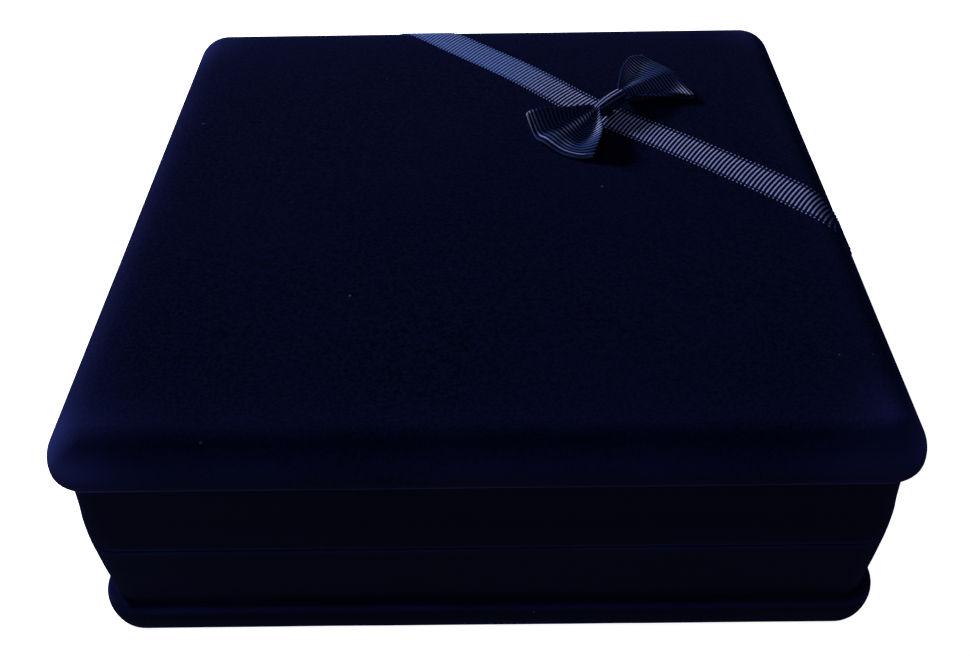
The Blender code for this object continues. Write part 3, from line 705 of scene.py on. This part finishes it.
def roll_table():
    """Arc length, outward place and height, and normal, down the lid's roll and round its lip."""
    spots = arc((HALF - ROLL_WIDTH, ROLL_BOTTOM), (ROLL_WIDTH, ROLL_HEIGHT), 90, 0, 60)
    spots += arc((HALF - LIP_INSET, ROLL_BOTTOM), (LIP_INSET, ROLL_BOTTOM - LIP_BOTTOM), 0, -90, 10)[1:]
    spots = np.array(spots + [(HALF - CREASE_INSET + 0.6 * MM, LIP_BOTTOM)])
    length = lengths_along(spots)
    tangent = unit(np.gradient(spots, length, axis=0))
    return length, spots, np.stack([-tangent[:, 1], tangent[:, 0]], axis=1)


ROLL_LENGTH, ROLL_SPOTS, ROLL_NORMALS = roll_table()
ROLL_START = HALF - ROLL_WIDTH


def on_lid(across, back, lift):
    """Points on the lid's outside from places on the flat unrolled lid, raised by lift."""
    across, back, lift = np.broadcast_arrays(across, back, lift)
    x, y = across.copy(), back.copy()
    z = LID_TOP + lift
    for place, other in ((across, x), (back, y)):
        past = place - ROLL_START
        rolled = past > 0
        tables = (ROLL_SPOTS, ROLL_NORMALS)
        spot, normal = ([np.interp(past, ROLL_LENGTH, t[:, k]) for k in (0, 1)] for t in tables)
        other[rolled] = (spot[0] + normal[0] * lift)[rolled]
        z[rolled] = (spot[1] + normal[1] * lift)[rolled]
    return np.stack([x, y, z + crown(x, y)], axis=-1)


def ribbon_line():
    """The band's centre line on the flat unrolled lid, and the length along it.

    It lies across the back right corner, drawn in a little under the bow. Part of the way down the
    roll it turns to cross each edge square.
    """
    along, outward = np.array(SIDEWAYS[:2]), np.array(OUTWARD[:2])
    run = np.arange(-LINE_REACH, LINE_REACH, LINE_STEP)
    off = RIBBON_FROM_CENTRE + RIBBON_SLANT * run - BOW_PULL * bell(run, BOW_PULL_REACH)
    points = run[:, None] * along + off[:, None] * outward
    flat = points[(points < ROLL_START + TURN_AFTER).all(axis=1)]
    far = ROLL_START + ROLL_LENGTH[-1]
    right = turned_end(flat[-1], flat[-1] - flat[-2], 0, far)
    back = turned_end(flat[0], flat[0] - flat[1], 1, far)
    line = np.concatenate([back[::-1], flat, right])
    return lengths_along(line), line


def turned_end(start, heading, axis, far):
    """Points on from start, the heading swinging square to the edge that axis crosses."""
    square = np.eye(2)[axis]
    turn = math.atan2(heading[0] * square[1] - heading[1] * square[0], heading @ square)
    first = math.atan2(heading[1], heading[0])
    spot, made = start.copy(), []
    while spot[axis] < far:
        share = np.clip((spot[axis] - start[axis]) / TURN_LENGTH, 0, 1)
        angle = first + turn * (3 - 2 * share) * share**2
        spot = spot + LINE_STEP * np.array([math.cos(angle), math.sin(angle)])
        made.append(spot)
    return np.array(made)


def ribbon_mesh(name, surface, ribs, painted_highlight, painted_haze, uv, material, offset):
    """A ribbon from a grid of points, with rib heights, painted highlight shares and painted sheen
    shares kept for the material.
    """
    rows, columns = surface.shape[:2]
    points, faces = surface.reshape(-1, 3), grid_faces(rows, columns)
    made = mesh_object(name, points, faces, material, "lid")
    for attribute, values in (("rib", ribs), ("painted_highlight", painted_highlight), ("painted_haze", painted_haze)):
        vertex_number(made, attribute, np.broadcast_to(values, (rows, columns)).reshape(-1))
    lay_uv(made, uv)
    thicken(made, CLOTH, offset)
    return made


def ribbon_band(material):
    """The flat ribbon over the lid's back right corner, tucked under the lip at both ends."""
    columns, rows_per_rib = 21, 8
    length, line = ribbon_line()
    rows = int(length[-1] / RIB_PITCH * rows_per_rib)
    run = np.linspace(0, length[-1], rows)[:, None]
    centre = np.stack([np.interp(run[:, 0], length, line[:, k]) for k in (0, 1)], axis=1)
    heading = unit(np.gradient(centre, axis=0))
    outward = np.stack([-heading[:, 1], heading[:, 0]], axis=1)
    share = crowded(columns)
    width = share * RIBBON_WIDTH / 2
    stitched = 1 - 0.35 * bell(np.abs(share) - 0.9, 0.05)
    ribs = rib_wave(run - RIB_BOW * (1 - share) ** 2, RIB_PITCH) * stitched
    selvedge = np.abs(share) ** EDGE_POWER
    off = width + PICOT * ribs * selvedge * np.sign(share) + SWAY * np.sin(run / SWAY_LENGTH)
    flat = centre[:, None, :] + off[..., None] * outward[:, None, :]
    surface = on_lid(flat[..., 0], flat[..., 1], BAND_LIFT + (RIB_HEIGHT + EDGE_RISE * selvedge) * ribs)
    uv = np.stack(np.broadcast_arrays(run, width), axis=-1)
    # Painted sheen: an even blue, growing towards the band's back left end.
    beside_bow = (centre @ np.array(SIDEWAYS[:2]))[:, None]
    painted_haze = np.clip((-PAINTED_HAZE_START - beside_bow) / PAINTED_HAZE_LENGTH, 0, 1)
    # Painted shade: the ribs' painted highlight fades as the band goes down the roll.
    down = np.clip((flat.max(axis=-1) - ROLL_START) / RIBBON_ROLL_PAINTED_SHADE_BY, 0, 1)
    painted_highlight = 1 - RIBBON_ROLL_PAINTED_SHADE * down
    made = ribbon_mesh("grosgrain_band", surface, ribs, painted_highlight, painted_haze, uv, material, -1.0)
    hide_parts("ribbon_band")


# ---- bow


def on_bow(local):
    """World places of (along, across, up) places in the bow's own frame on the lid."""
    centre = OUTWARD * BOW_FROM_CENTRE + SIDEWAYS * BOW_ASIDE
    origin = np.array((centre.x, centre.y, LID_TOP))
    axes = np.array((OUTWARD, SIDEWAYS, (0.0, 0.0, 1.0)))
    return local @ axes + origin


def interpolate(values, count):
    """count Catmull-Rom rows through a table's rows."""
    stations = len(values)
    at = np.linspace(0, stations - 1, count)
    base = np.clip(np.floor(at).astype(int), 0, stations - 2)
    picked = [np.clip(base + k, 0, stations - 1) for k in (-1, 0, 1, 2)]
    return catmull(*(values[p] for p in picked), (at - base).reshape(-1, 1, 1))


def smooth_patch(controls, rows, columns):
    """A surface through a small table of (along, across, up) control points."""
    by_row = interpolate(np.array(controls, float) * MM, rows)
    return np.swapaxes(interpolate(np.swapaxes(by_row, 0, 1), columns), 0, 1)


def loop_sheet(top_controls, bottom_controls, fold_out):
    """One loop of ribbon: the upper layer out to the fold, round it, and the lower layer back."""
    fold_rows, columns = 14, 34
    top, bottom = (smooth_patch(table, LOOP_ROWS, columns) for table in (top_controls, bottom_controls))
    middle, half = (top[-1] + bottom[-1]) / 2, (top[-1] - bottom[-1]) / 2
    fold = []
    for i in range(1, fold_rows):
        angle = math.pi * i / fold_rows
        ring = middle + half * math.cos(angle)
        ring[:, 0] += fold_out * math.sin(angle)
        fold.append(ring)
    return np.concatenate([top, np.array(fold), bottom[::-1]])


def ribbed(points, pitch, height, side):
    """Push a cloth grid out by ribs that run across it. side is the sign of the outward normal."""
    steps = np.linalg.norm(np.diff(points, axis=0), axis=2)
    length = np.concatenate([np.zeros((1, points.shape[1])), np.cumsum(steps, axis=0)])
    phase = 0.75 * np.median(length, axis=1, keepdims=True) + 0.25 * length
    ribs = rib_wave(phase, pitch)
    across = np.gradient(points, axis=1)
    normal = unit(np.cross(np.gradient(points, axis=0), across))
    share = np.linspace(-1, 1, points.shape[1])[None, :]
    picot = BOW_PICOT * ribs * np.abs(share) ** EDGE_POWER * np.sign(share)
    moved = points + side * normal * (height * ribs)[..., None] + unit(across) * picot[..., None]
    uv = np.stack([phase, np.broadcast_to(share * BOW_RIBBON_WIDTH / 2, phase.shape)], axis=-1)
    return moved, ribs, uv


# Rows run from the knot to the folded end; columns run across the bow from its left edge to its right.
# Each point is (along the bow, across it, above the lid), in millimetres.
FRONT_TOP = (
    ((-4.6, -1.0, 5.2), (-4.8, -0.7, 4.3), (-4.8, -0.3, 4.6),
     (-4.8, 0.2, 3.6), (-4.8, 0.7, 3.9), (-4.6, 1.1, 5.2)),
    ((-8.6, -2.2, 6.3), (-8.8, -1.7, 4.2), (-8.8, -0.3, 4.2),
     (-8.8, 1.0, 2.2), (-8.8, 2.7, 2.5), (-8.4, 4.6, 5.0)),
    ((-13.2, -4.4, 6.9), (-13.2, -3.2, 3.7), (-13.2, -0.9, 3.5),
     (-13.2, 1.9, 1.7), (-13.0, 4.8, 1.9), (-12.2, 8.3, 5.0)),
    ((-17.8, -8.4, 6.9), (-18.4, -4.7, 2.9), (-18.6, -1.7, 2.9),
     (-18.6, 2.9, 1.4), (-18.2, 6.6, 1.6), (-16.4, 10.6, 3.8)),
    ((-19.6, -11.0, 5.6), (-21.6, -5.9, 2.0), (-22.4, -1.9, 2.2),
     (-22.4, 3.5, 1.2), (-21.2, 8.0, 1.2), (-19.0, 11.2, 1.8)),
)
FRONT_BOTTOM = (
    ((-4.6, -0.9, 3.4), (-4.8, -0.5, 3.0), (-4.8, 0.0, 3.2),
     (-4.8, 0.4, 2.8), (-4.8, 0.7, 3.1), (-4.6, 1.0, 3.4)),
    ((-8.8, -2.6, 1.8), (-8.8, -1.6, 1.3), (-8.8, -0.4, 1.4),
     (-8.8, 0.9, 1.1), (-8.8, 2.2, 1.3), (-8.6, 3.4, 1.7)),
    ((-13.2, -5.2, 1.9), (-13.2, -3.2, 0.9), (-13.2, -1.0, 0.8),
     (-13.2, 1.7, 0.7), (-13.0, 4.2, 0.8), (-12.6, 6.8, 1.4)),
    ((-17.8, -8.7, 3.9), (-18.3, -5.0, 1.1), (-18.5, -1.8, 1.0),
     (-18.5, 2.7, 0.5), (-18.1, 6.3, 0.6), (-16.6, 10.0, 1.4)),
    ((-19.5, -10.9, 4.8), (-21.5, -5.9, 1.1), (-22.3, -1.9, 1.2),
     (-22.3, 3.5, 0.4), (-21.1, 8.0, 0.4), (-18.9, 11.1, 0.8)),
)
BACK_TOP = (
    ((6.0, -1.3, 5.4), (6.0, -0.8, 4.8), (6.0, -0.2, 5.2),
     (6.0, 0.4, 5.0), (6.0, 0.9, 4.0), (6.0, 1.3, 3.6)),
    ((10.0, -3.9, 6.2), (10.2, -2.5, 4.9), (10.4, -0.9, 4.8),
     (10.4, 0.7, 5.0), (10.4, 2.4, 3.4), (10.4, 2.2, 3.5)),
    ((15.0, -6.8, 6.5), (15.4, -4.4, 4.6), (15.6, -1.6, 4.4),
     (15.8, 1.1, 4.6), (15.8, 4.2, 2.8), (16.0, 5.7, 2.4)),
    ((20.8, -8.4, 6.5), (21.3, -5.0, 4.9), (21.7, -1.6, 4.5),
     (21.8, 2.0, 4.5), (21.2, 6.2, 2.5), (20.3, 9.4, 2.0)),
    ((24.2, -7.6, 5.8), (25.0, -5.0, 4.8), (25.5, -1.6, 4.3),
     (25.4, 2.2, 3.9), (24.2, 7.0, 2.4), (22.6, 12.3, 1.5)),
)
BACK_BOTTOM = (
    ((6.0, -1.2, 3.2), (6.0, -0.7, 3.0), (6.0, -0.2, 3.1),
     (6.0, 0.3, 2.9), (6.0, 0.8, 2.8), (6.0, 1.2, 3.2)),
    ((10.0, -3.4, 1.8), (10.2, -2.2, 1.5), (10.4, -0.8, 1.4),
     (10.4, 0.7, 1.4), (10.4, 2.3, 1.2), (10.4, 2.0, 2.7)),
    ((15.0, -6.0, 1.9), (15.4, -4.0, 1.2), (15.6, -1.4, 0.9),
     (15.8, 1.1, 0.9), (15.8, 4.1, 0.7), (16.0, 5.3, 1.5)),
    ((21.0, -7.9, 3.4), (21.2, -4.8, 1.9), (21.4, -1.6, 1.4),
     (21.6, 2.0, 1.2), (21.2, 6.1, 0.7), (20.3, 9.2, 0.8)),
    ((24.1, -7.5, 4.7), (24.9, -5.0, 3.7), (25.4, -1.6, 3.2),
     (25.3, 2.2, 2.8), (24.1, 7.0, 1.3), (22.5, 12.1, 0.7)),
)


def painted_highlights(out, across, spots):
    """Painted highlights: soft bright patches on a loop, over its even painted shine."""
    total = LOOP_PAINTED_HIGHLIGHT + 0.0 * out * across
    for out_at, across_at, out_reach, across_reach, strength in spots:
        total += strength * bell(out - out_at, out_reach) * bell(across - across_at, across_reach)
    return total


# Painted highlights: (place from knot 0 to fold 1, place across -1 to 1, reach out, reach across,
# strength).
FRONT_PAINTED_HIGHLIGHTS = (
    (0.40, -0.12, 0.42, 0.09, 1.00),
    (0.80, 0.14, 0.10, 0.16, 0.50),
    (0.36, 0.82, 0.24, 0.20, 0.78),
    (0.96, -0.85, 0.12, 0.30, 0.40),
    (1.00, 0.00, 0.03, 3.00, 0.60),
)
BACK_PAINTED_HIGHLIGHTS = (
    (0.60, -0.60, 0.28, 0.32, 0.55),
    (0.28, -0.05, 0.16, 0.30, 0.30),
    (0.60, 0.40, 0.30, 0.30, 0.14),
    (0.88, 0.88, 0.14, 0.24, 1.20),
    (1.00, 0.00, 0.03, 3.00, 0.30),
    (0.50, 1.00, 0.60, 0.03, 0.30),
)


def bow_loop(name, node, top, bottom, side, spots, material):
    """A ribbed loop of the bow, on the front side (-1) or the back side (1) of the knot."""
    grid = loop_sheet(top, bottom, side * FOLD_OUT)
    moved, ribs, uv = ribbed(grid, BOW_RIB_PITCH, RIB_HEIGHT, side)
    rows, columns = grid.shape[:2]
    out = np.minimum(np.arange(rows) / LOOP_ROWS, 2.0)[:, None]
    # Painted highlights on the loop's ribs.
    painted_highlight = painted_highlights(out, np.linspace(-1, 1, columns)[None, :], spots)
    made = ribbon_mesh(name, on_bow(moved), ribs, painted_highlight, 0.0, uv, material, 0.0)
    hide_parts(node)


def bow_knot(material):
    """The narrow ribbon wound round the middle, drawn in tight at its front end."""
    around, along, ribs_round, twist = 176, 40, 11, 0.15
    front, back = -5.6 * MM, 6.6 * MM
    wide, tall = 1.12, 1.15
    height, rise = 3.3 * MM, 0.35 * MM
    angle = np.linspace(0, 2 * np.pi, around, endpoint=False)[None, :]
    share = np.linspace(0, 1, along)[:, None]
    profile_at = np.array([0.0, 0.06, 0.16, 0.4, 0.7, 0.92, 1.0])
    profile = np.array([0.55, 1.05, 1.45, 1.85, 1.95, 1.9, 1.2]) * MM
    wave = rib_wave(angle / (2 * np.pi) * ribs_round + twist * share, 1.0)
    radius = np.interp(share, profile_at, profile) + RIB_HEIGHT * 1.1 * (wave - 0.4)
    local = np.stack(
        [
            np.broadcast_to(front + (back - front) * share, radius.shape),
            radius * np.cos(angle) * wide,
            height + rise * share + radius * np.sin(angle) * tall,
        ],
        axis=-1,
    )
    points, faces = on_bow(local).reshape(-1, 3), tube_faces(along, around)
    made = mesh_object("bow_knot_wrap", points, faces, material, "lid", 70)
    # Painted highlight on the top of the knot, a little towards the back left; elsewhere it is painted
    # near dark, as in shade.
    lit_side = 0.03 + 0.8 * bell(angle - KNOT_LIT_AT, KNOT_LIT_REACH) + 0.0 * share
    vertex_number(made, "rib", wave.reshape(-1))
    vertex_number(made, "painted_highlight", lit_side.reshape(-1))
    lay_uv(made, np.stack(np.broadcast_arrays(angle * 2 * MM, share * 12 * MM), axis=-1))
    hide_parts("bow_knot")


def bow(material):
    bow_loop("bow_front_loop", "bow_loop_front", FRONT_TOP, FRONT_BOTTOM, -1, FRONT_PAINTED_HIGHLIGHTS, material)
    bow_loop("bow_back_loop", "bow_loop_back", BACK_TOP, BACK_BOTTOM, 1, BACK_PAINTED_HIGHLIGHTS, material)
    bow_knot(material)


# ---- inside


def soft_box(name, node, material, body, pillow, corner=1.2 * MM):
    """A padded strip or block in its node's box: rounded edges and faces that swell by pillow."""
    facet, most_facets = 7 * MM, 24
    low, high = node_box(node)
    size = high - low
    thin = min(range(3), key=lambda k: size[k])
    inner = [side / 2 - min(corner, side * 0.42) for side in size]
    builder = box_builder(size)
    for axis in range(3):
        normal = Vector([float(k == axis) for k in range(3)])
        steps = max(2, min(most_facets, int(size[axis] / facet)))
        for i in range(1, steps):
            at = normal * (-size[axis] / 2 + size[axis] * i / steps)
            everything = [*builder.verts, *builder.edges, *builder.faces]
            bmesh.ops.bisect_plane(builder, geom=everything, plane_co=at, plane_no=normal)
    for vertex in builder.verts:
        p = vertex.co
        core = Vector([max(-inner[k], min(inner[k], p[k])) for k in range(3)])
        off = p - core
        if off.length > 0:
            p = core + off.normalized() * min(off.length, corner)
        fall = math.prod(max(0.0, 1 - (2 * p[k] / size[k]) ** 6) for k in range(3) if k != thin)
        swell = pillow * fall * (1 + 0.3 * noise.noise(p * 70))
        p[thin] += math.copysign(swell, p[thin]) if p[thin] else 0
        vertex.co = p + (low + high) / 2
    made = piece(name, drawn(name, builder), material, body)
    subdivide(made)
    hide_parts(node)


def linings():
    """The strips wrapped in velvet that line the walls of the base and the lid."""
    inner = velvet("lining_velvet", INNER_DARK, INNER_LIGHT, INNER_SHEEN, dust=False)
    for body in ("base", "lid"):
        for side in ("front", "back", "left", "right"):
            name, node = f"{body}_wall_lining_{side}", f"{body}_lining_{side}"
            soft_box(name, node, inner, body, 0.25 * MM, 0.9 * MM)


def inflate(made, pressure, frames, cap):
    """Swell a mesh with Cloth pressure, hold every point within cap of its start, and apply it."""
    start = np.array([vertex.co for vertex in made.data.vertices])
    cloth = made.modifiers.new("cloth", "CLOTH").settings
    cloth.quality = 5
    cloth.mass = 0.15
    cloth.tension_stiffness = 12
    cloth.bending_stiffness = 0.4
    cloth.use_pressure = True
    cloth.uniform_pressure_force = pressure
    cloth.effector_weights.gravity = 0.0
    cloth.vertex_group_mass = "held"
    for number in range(1, frames + 1):
        bpy.context.scene.frame_set(number)
    applied(made)
    bpy.context.scene.frame_set(1)
    shift = np.array([vertex.co for vertex in made.data.vertices]) - start
    shift *= np.minimum(1.0, cap / np.maximum(np.linalg.norm(shift, axis=1, keepdims=True), 1e-9))
    made.data.vertices.foreach_set("co", (start + shift).astype(np.float32).reshape(-1))
    made.data.update()


def satin_pad():
    """The lid's satin cushion: held at its edge and by the card, and blown up like stretched cloth."""
    low, high = node_box("lid_satin_pad")
    slack, steps = 2.6 * MM, 60
    half = high.x
    ticks = [-half + 2 * half * i / steps for i in range(steps + 1)]
    points = [(x, y, z) for z in (high.z, low.z + slack) for x in ticks for y in ticks]
    material = satin("lid_satin", (0.80, 0.77, 0.70), (0.62, 0.58, 0.50))
    faces = slab_faces(steps + 1, steps + 1)
    made = mesh_object("satin_cushion", points, faces, material, "lid")
    group = made.vertex_groups.new(name="held")
    for vertex in made.data.vertices:
        place = vertex.co
        from_side, from_end = half - abs(place.x), half - abs(place.y)
        edge = min(from_side, from_end)
        if vertex.index < len(points) // 2 or edge < half / steps:
            group.add([vertex.index], 1.0, "REPLACE")
            continue
        along = place.y if from_side < from_end else place.x
        tuck = noise.noise(Vector((along * 130, place.x + place.y, 3.0)))
        pucker = 0.25 * MM * noise.noise(place * 55)
        place.z += pucker + TUCK_DEPTH * tuck * math.exp(-edge / TUCK_REACH)
    inflate(made, 1.6, 20, 4.2 * MM)
    made.vertex_groups.clear()
    subdivide(made)
    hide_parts("lid_satin_pad")


def display_pad():
    """The velvet insert: a soft-edged cushion with a ring slot and a pressed neck groove."""
    low, high = node_box("display_pad")
    roll_low, roll_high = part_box("ring_roll_front")[0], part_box("ring_roll_back")[1]
    end_gap, side_gap = 0.5 * MM, 0.35 * MM
    edge_drop, edge_width = 2.2 * MM, 2.4 * MM
    sink, sink_width, neck_width = 0.9 * MM, 1.8 * MM, 1.6 * MM
    half, count = high.x, 119
    grid = np.linspace(-half, half, count)
    x, y = np.meshgrid(grid, grid, indexing="ij")
    edge = np.minimum(half - np.abs(x), half - np.abs(y))
    z = high.z - edge_drop * np.clip(1 - edge / edge_width, 0, 1) ** 2
    z += 0.15 * MM * np.array([[noise.noise(Vector((a * 60, b * 60, 1))) for b in grid] for a in grid])
    past_ends = np.maximum(roll_low[0] - x, x - roll_high[0]) - end_gap
    past_sides = np.maximum(roll_low[1] - y, y - roll_high[1]) - side_gap
    to_slot = np.maximum(past_ends, past_sides)
    z -= np.where(to_slot < 0, SLOT_DEPTH, sink * bell(to_slot, sink_width))
    neck = np.abs(np.hypot(x, (y - NECK_RADIUS) * 1.05) - NECK_RADIUS)
    lower_half = np.clip((NECK_RADIUS - y) / (10 * MM), 0, 1)
    z -= NECK_DEPTH * bell(neck, neck_width) * lower_half * (to_slot > 3 * MM)
    points = list(np.stack([x, y, z], axis=-1).reshape(-1, 3))
    border = border_of(count, count)
    first_low = len(points)
    lower = range(first_low, first_low + len(border))
    points += [(points[n][0], points[n][1], low.z) for n in border]
    around = zip(border, lower, [*lower[1:], lower[0]], border[1:] + border[:1])
    faces = grid_faces(count, count) + list(around) + [tuple(lower)]
    material = velvet("pad_velvet", INNER_DARK, INNER_LIGHT, INNER_SHEEN, dust=False)
    made = mesh_object("velvet_pad", points, faces, material, "pad", 60)
    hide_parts("display_pad")
    return material


def ring_rolls(material):
    """Two round-ended velvet rolls that hold a ring between them."""
    end_round, end_steps, run_steps, around = 1.6 * MM, 6, 20, 32
    for side in ("front", "back"):
        low, high = node_box(f"ring_roll_{side}")
        radius = (high.z - low.z) / 2
        middle = (low + high) / 2
        run = high.x - low.x - 2 * end_round
        centre = (low.x + end_round, radius - end_round)
        stations = arc(centre, (end_round, end_round), 180, 90, end_steps)
        stations += [(low.x + end_round + run * i / run_steps, radius) for i in range(1, run_steps)]
        stations += [(low.x + high.x - x, r) for x, r in stations[end_steps::-1]]
        points = []
        for x, r in stations:
            for i in range(around):
                up, out = math.sin(2 * math.pi * i / around), math.cos(2 * math.pi * i / around)
                swelled = r * (1 + 0.012 * noise.noise(Vector((x * 300, out, up))))
                points.append((x, middle.y + swelled * out, middle.z + swelled * up))
        faces = tube_faces(len(stations), around)
        made = mesh_object(f"velvet_ring_roll_{side}", points, faces, material, "pad", 60)
        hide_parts(f"ring_roll_{side}")


def flaps(material):
    """The earring flap, both hook flaps, and the foam that carries the pad."""
    soft_box("earring_tab", "earring_flap", material, "pad", 0.05 * MM, 0.45 * MM)
    hook_tab("left", -1, material)
    hook_tab("right", 1, material)
    soft_box("cut_foam", "pad_foam", foam("grey_foam"), "base", 0.12 * MM, 0.5 * MM)


def hook_tab(name, side, material):
    """A half-round velvet tab at a back corner of the pad, its round end curling up for the chain."""
    low, high = node_box(f"hook_flap_{name}")
    rows, columns, flat_share = 26, 17, 0.55
    reach = HOOK_RADIUS * 0.99 + HOOK_TAIL
    along = -HOOK_TAIL + reach * np.sin(np.linspace(0, math.pi / 2, rows))[:, None]
    share = crowded(columns)
    across = np.sqrt(HOOK_RADIUS**2 - np.maximum(along, 0) ** 2) * share
    curl = HOOK_CURL * np.maximum(along / HOOK_RADIUS, 0) ** 2
    swell = flat_share + (1 - flat_share) * (1 - share**4) * (1 - (along / HOOK_RADIUS) ** 4)
    lower = np.broadcast_to(low.z + curl, across.shape)
    upper = lower + (high.z - low.z) * swell
    turn = -side * math.pi / 4
    x = high.x - HOOK_RADIUS if side > 0 else low.x + HOOK_RADIUS
    world_x = x + across * math.cos(turn) - along * math.sin(turn)
    world_y = high.y - HOOK_RADIUS + across * math.sin(turn) + along * math.cos(turn)
    points = [np.stack([world_x, world_y, z], axis=-1).reshape(-1, 3) for z in (upper, lower)]
    faces = slab_faces(rows, columns)
    made = mesh_object(
        f"hook_tab_{name}", np.concatenate(points), faces, material, "pad", 50
    )
    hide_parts(f"hook_flap_{name}")


def pull_tab():
    """A loop of dark satin ribbon, folded flat, glued under the pad's front edge."""
    low, high = node_box("pull_tab")
    columns, run_steps, ripple = 7, 10, 0.08 * MM
    upper, under = high.z - TAB_THICKNESS, low.z + 0.1 * MM
    radius = (upper - under) / 2
    run = [low.y + (high.y - radius - low.y) * i / run_steps for i in range(run_steps + 1)]
    path = [(y, under + ripple * math.sin(i * 0.9)) for i, y in enumerate(run)]
    path += arc((high.y - radius, (upper + under) / 2), (radius, radius), -90, 90, 9)[1:-1]
    path += [(y, upper) for y in reversed(run)]
    width = high.x - low.x
    points = [(low.x + width * i / (columns - 1), y, z) for y, z in path for i in range(columns)]
    material = satin("pull_satin", (0.010, 0.014, 0.050), (0.005, 0.007, 0.026), 0.02, 0.15)
    faces = grid_faces(len(path), columns)
    made = mesh_object("pull_ribbon", points, faces, material, "pad")
    thicken(made, TAB_THICKNESS, 0.0)
    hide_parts("pull_tab")


# ---- carried-over solids


def dress_nodes():
    """Procedural materials for the frame's own solids that stay in view."""
    metal = brass("stamped_brass")
    card = paper_card("embossed_card", (0.010, 0.011, 0.020), (0.030, 0.032, 0.050))
    shells = moulding("black_moulding", (0.018, 0.018, 0.022))
    chosen = {"bow_glue_dot": glue("clear_glue")}
    for name in ("bottom_card", "pad_board", "lid_pad_card"):
        chosen[name] = card
    for name in ("base_shell", "lid_shell"):
        chosen[name] = shells
    for name in frame["nodes"]:
        if "hinge" in name or "rivet" in name:
            chosen[name] = metal
    for name, material in chosen.items():
        mesh = frame["nodes"][name].data
        mesh.materials.clear()
        mesh.materials.append(material)


# ---- studio


def studio():
    """White floor and surround, a broad weak light overhead, a small strong key from the back left."""
    builder = bmesh.new()
    bmesh.ops.create_grid(builder, x_segments=1, y_segments=1, size=8.0)
    floor = linked("floor", drawn("floor", builder))
    paper = Nodes("backdrop_paper", (0.85, 0.85, 0.85), 0.9, 0.0)
    paper.set("Emission Color", (1.0, 1.0, 1.0, 1.0))
    paper.set("Emission Strength", 0.93)
    floor.data.materials.append(paper.material)

    world = bpy.data.worlds.new("studio")
    bpy.context.scene.world = world
    world.use_nodes = True
    background = world.node_tree.nodes["Background"]
    background.inputs["Color"].default_value = (0.95, 0.97, 1.0, 1.0)
    background.inputs["Strength"].default_value = 0.11

    area_light("overhead", (0.0, -0.45, 1.5), 1.6, 3.6)
    area_light("key", (-0.80, 0.78, 0.50), 0.2, 33.0)
    bpy.context.scene.view_settings.view_transform = "Standard"


def area_light(name, place, size, power):
    """A square lamp that shines on the middle of the box."""
    data = bpy.data.lights.new(name, "AREA")
    data.energy = power
    data.size = size
    light = linked(name, data)
    light.location = place
    aim = Vector((0, 0, 0.03)) - Vector(place)
    light.rotation_euler = aim.to_track_quat("-Z", "Y").to_euler()


def camera():
    """A hand-held view from the front, looking down at the lid."""
    heading, tilt, roll = math.radians(-0.498), math.radians(42.695), math.radians(-1.018)
    place = Vector((0.00147, -0.2201, 0.21729))
    data = bpy.data.cameras.new("camera")
    data.sensor_width = 36.0
    data.lens = 39.017
    data.clip_start = 0.01
    made = linked("camera", data)
    turned = Matrix.Translation(place)
    for angle, axis in ((-heading, "Z"), (math.pi / 2 - tilt, "X"), (roll, "Z")):
        turned = turned @ Matrix.Rotation(angle, 4, axis)
    made.matrix_world = turned
    bpy.context.scene.camera = made


# ---- the box


dress_nodes()
covers = (lid_velvet(), base_velvet())
cut_hinge_notches(covers)
ribbon = grosgrain("ribbon_grosgrain")
ribbon_band(ribbon)
bow(ribbon)
linings()
satin_pad()
pad_material = display_pad()
ring_rolls(pad_material)
flaps(pad_material)
pull_tab()
studio()
camera()
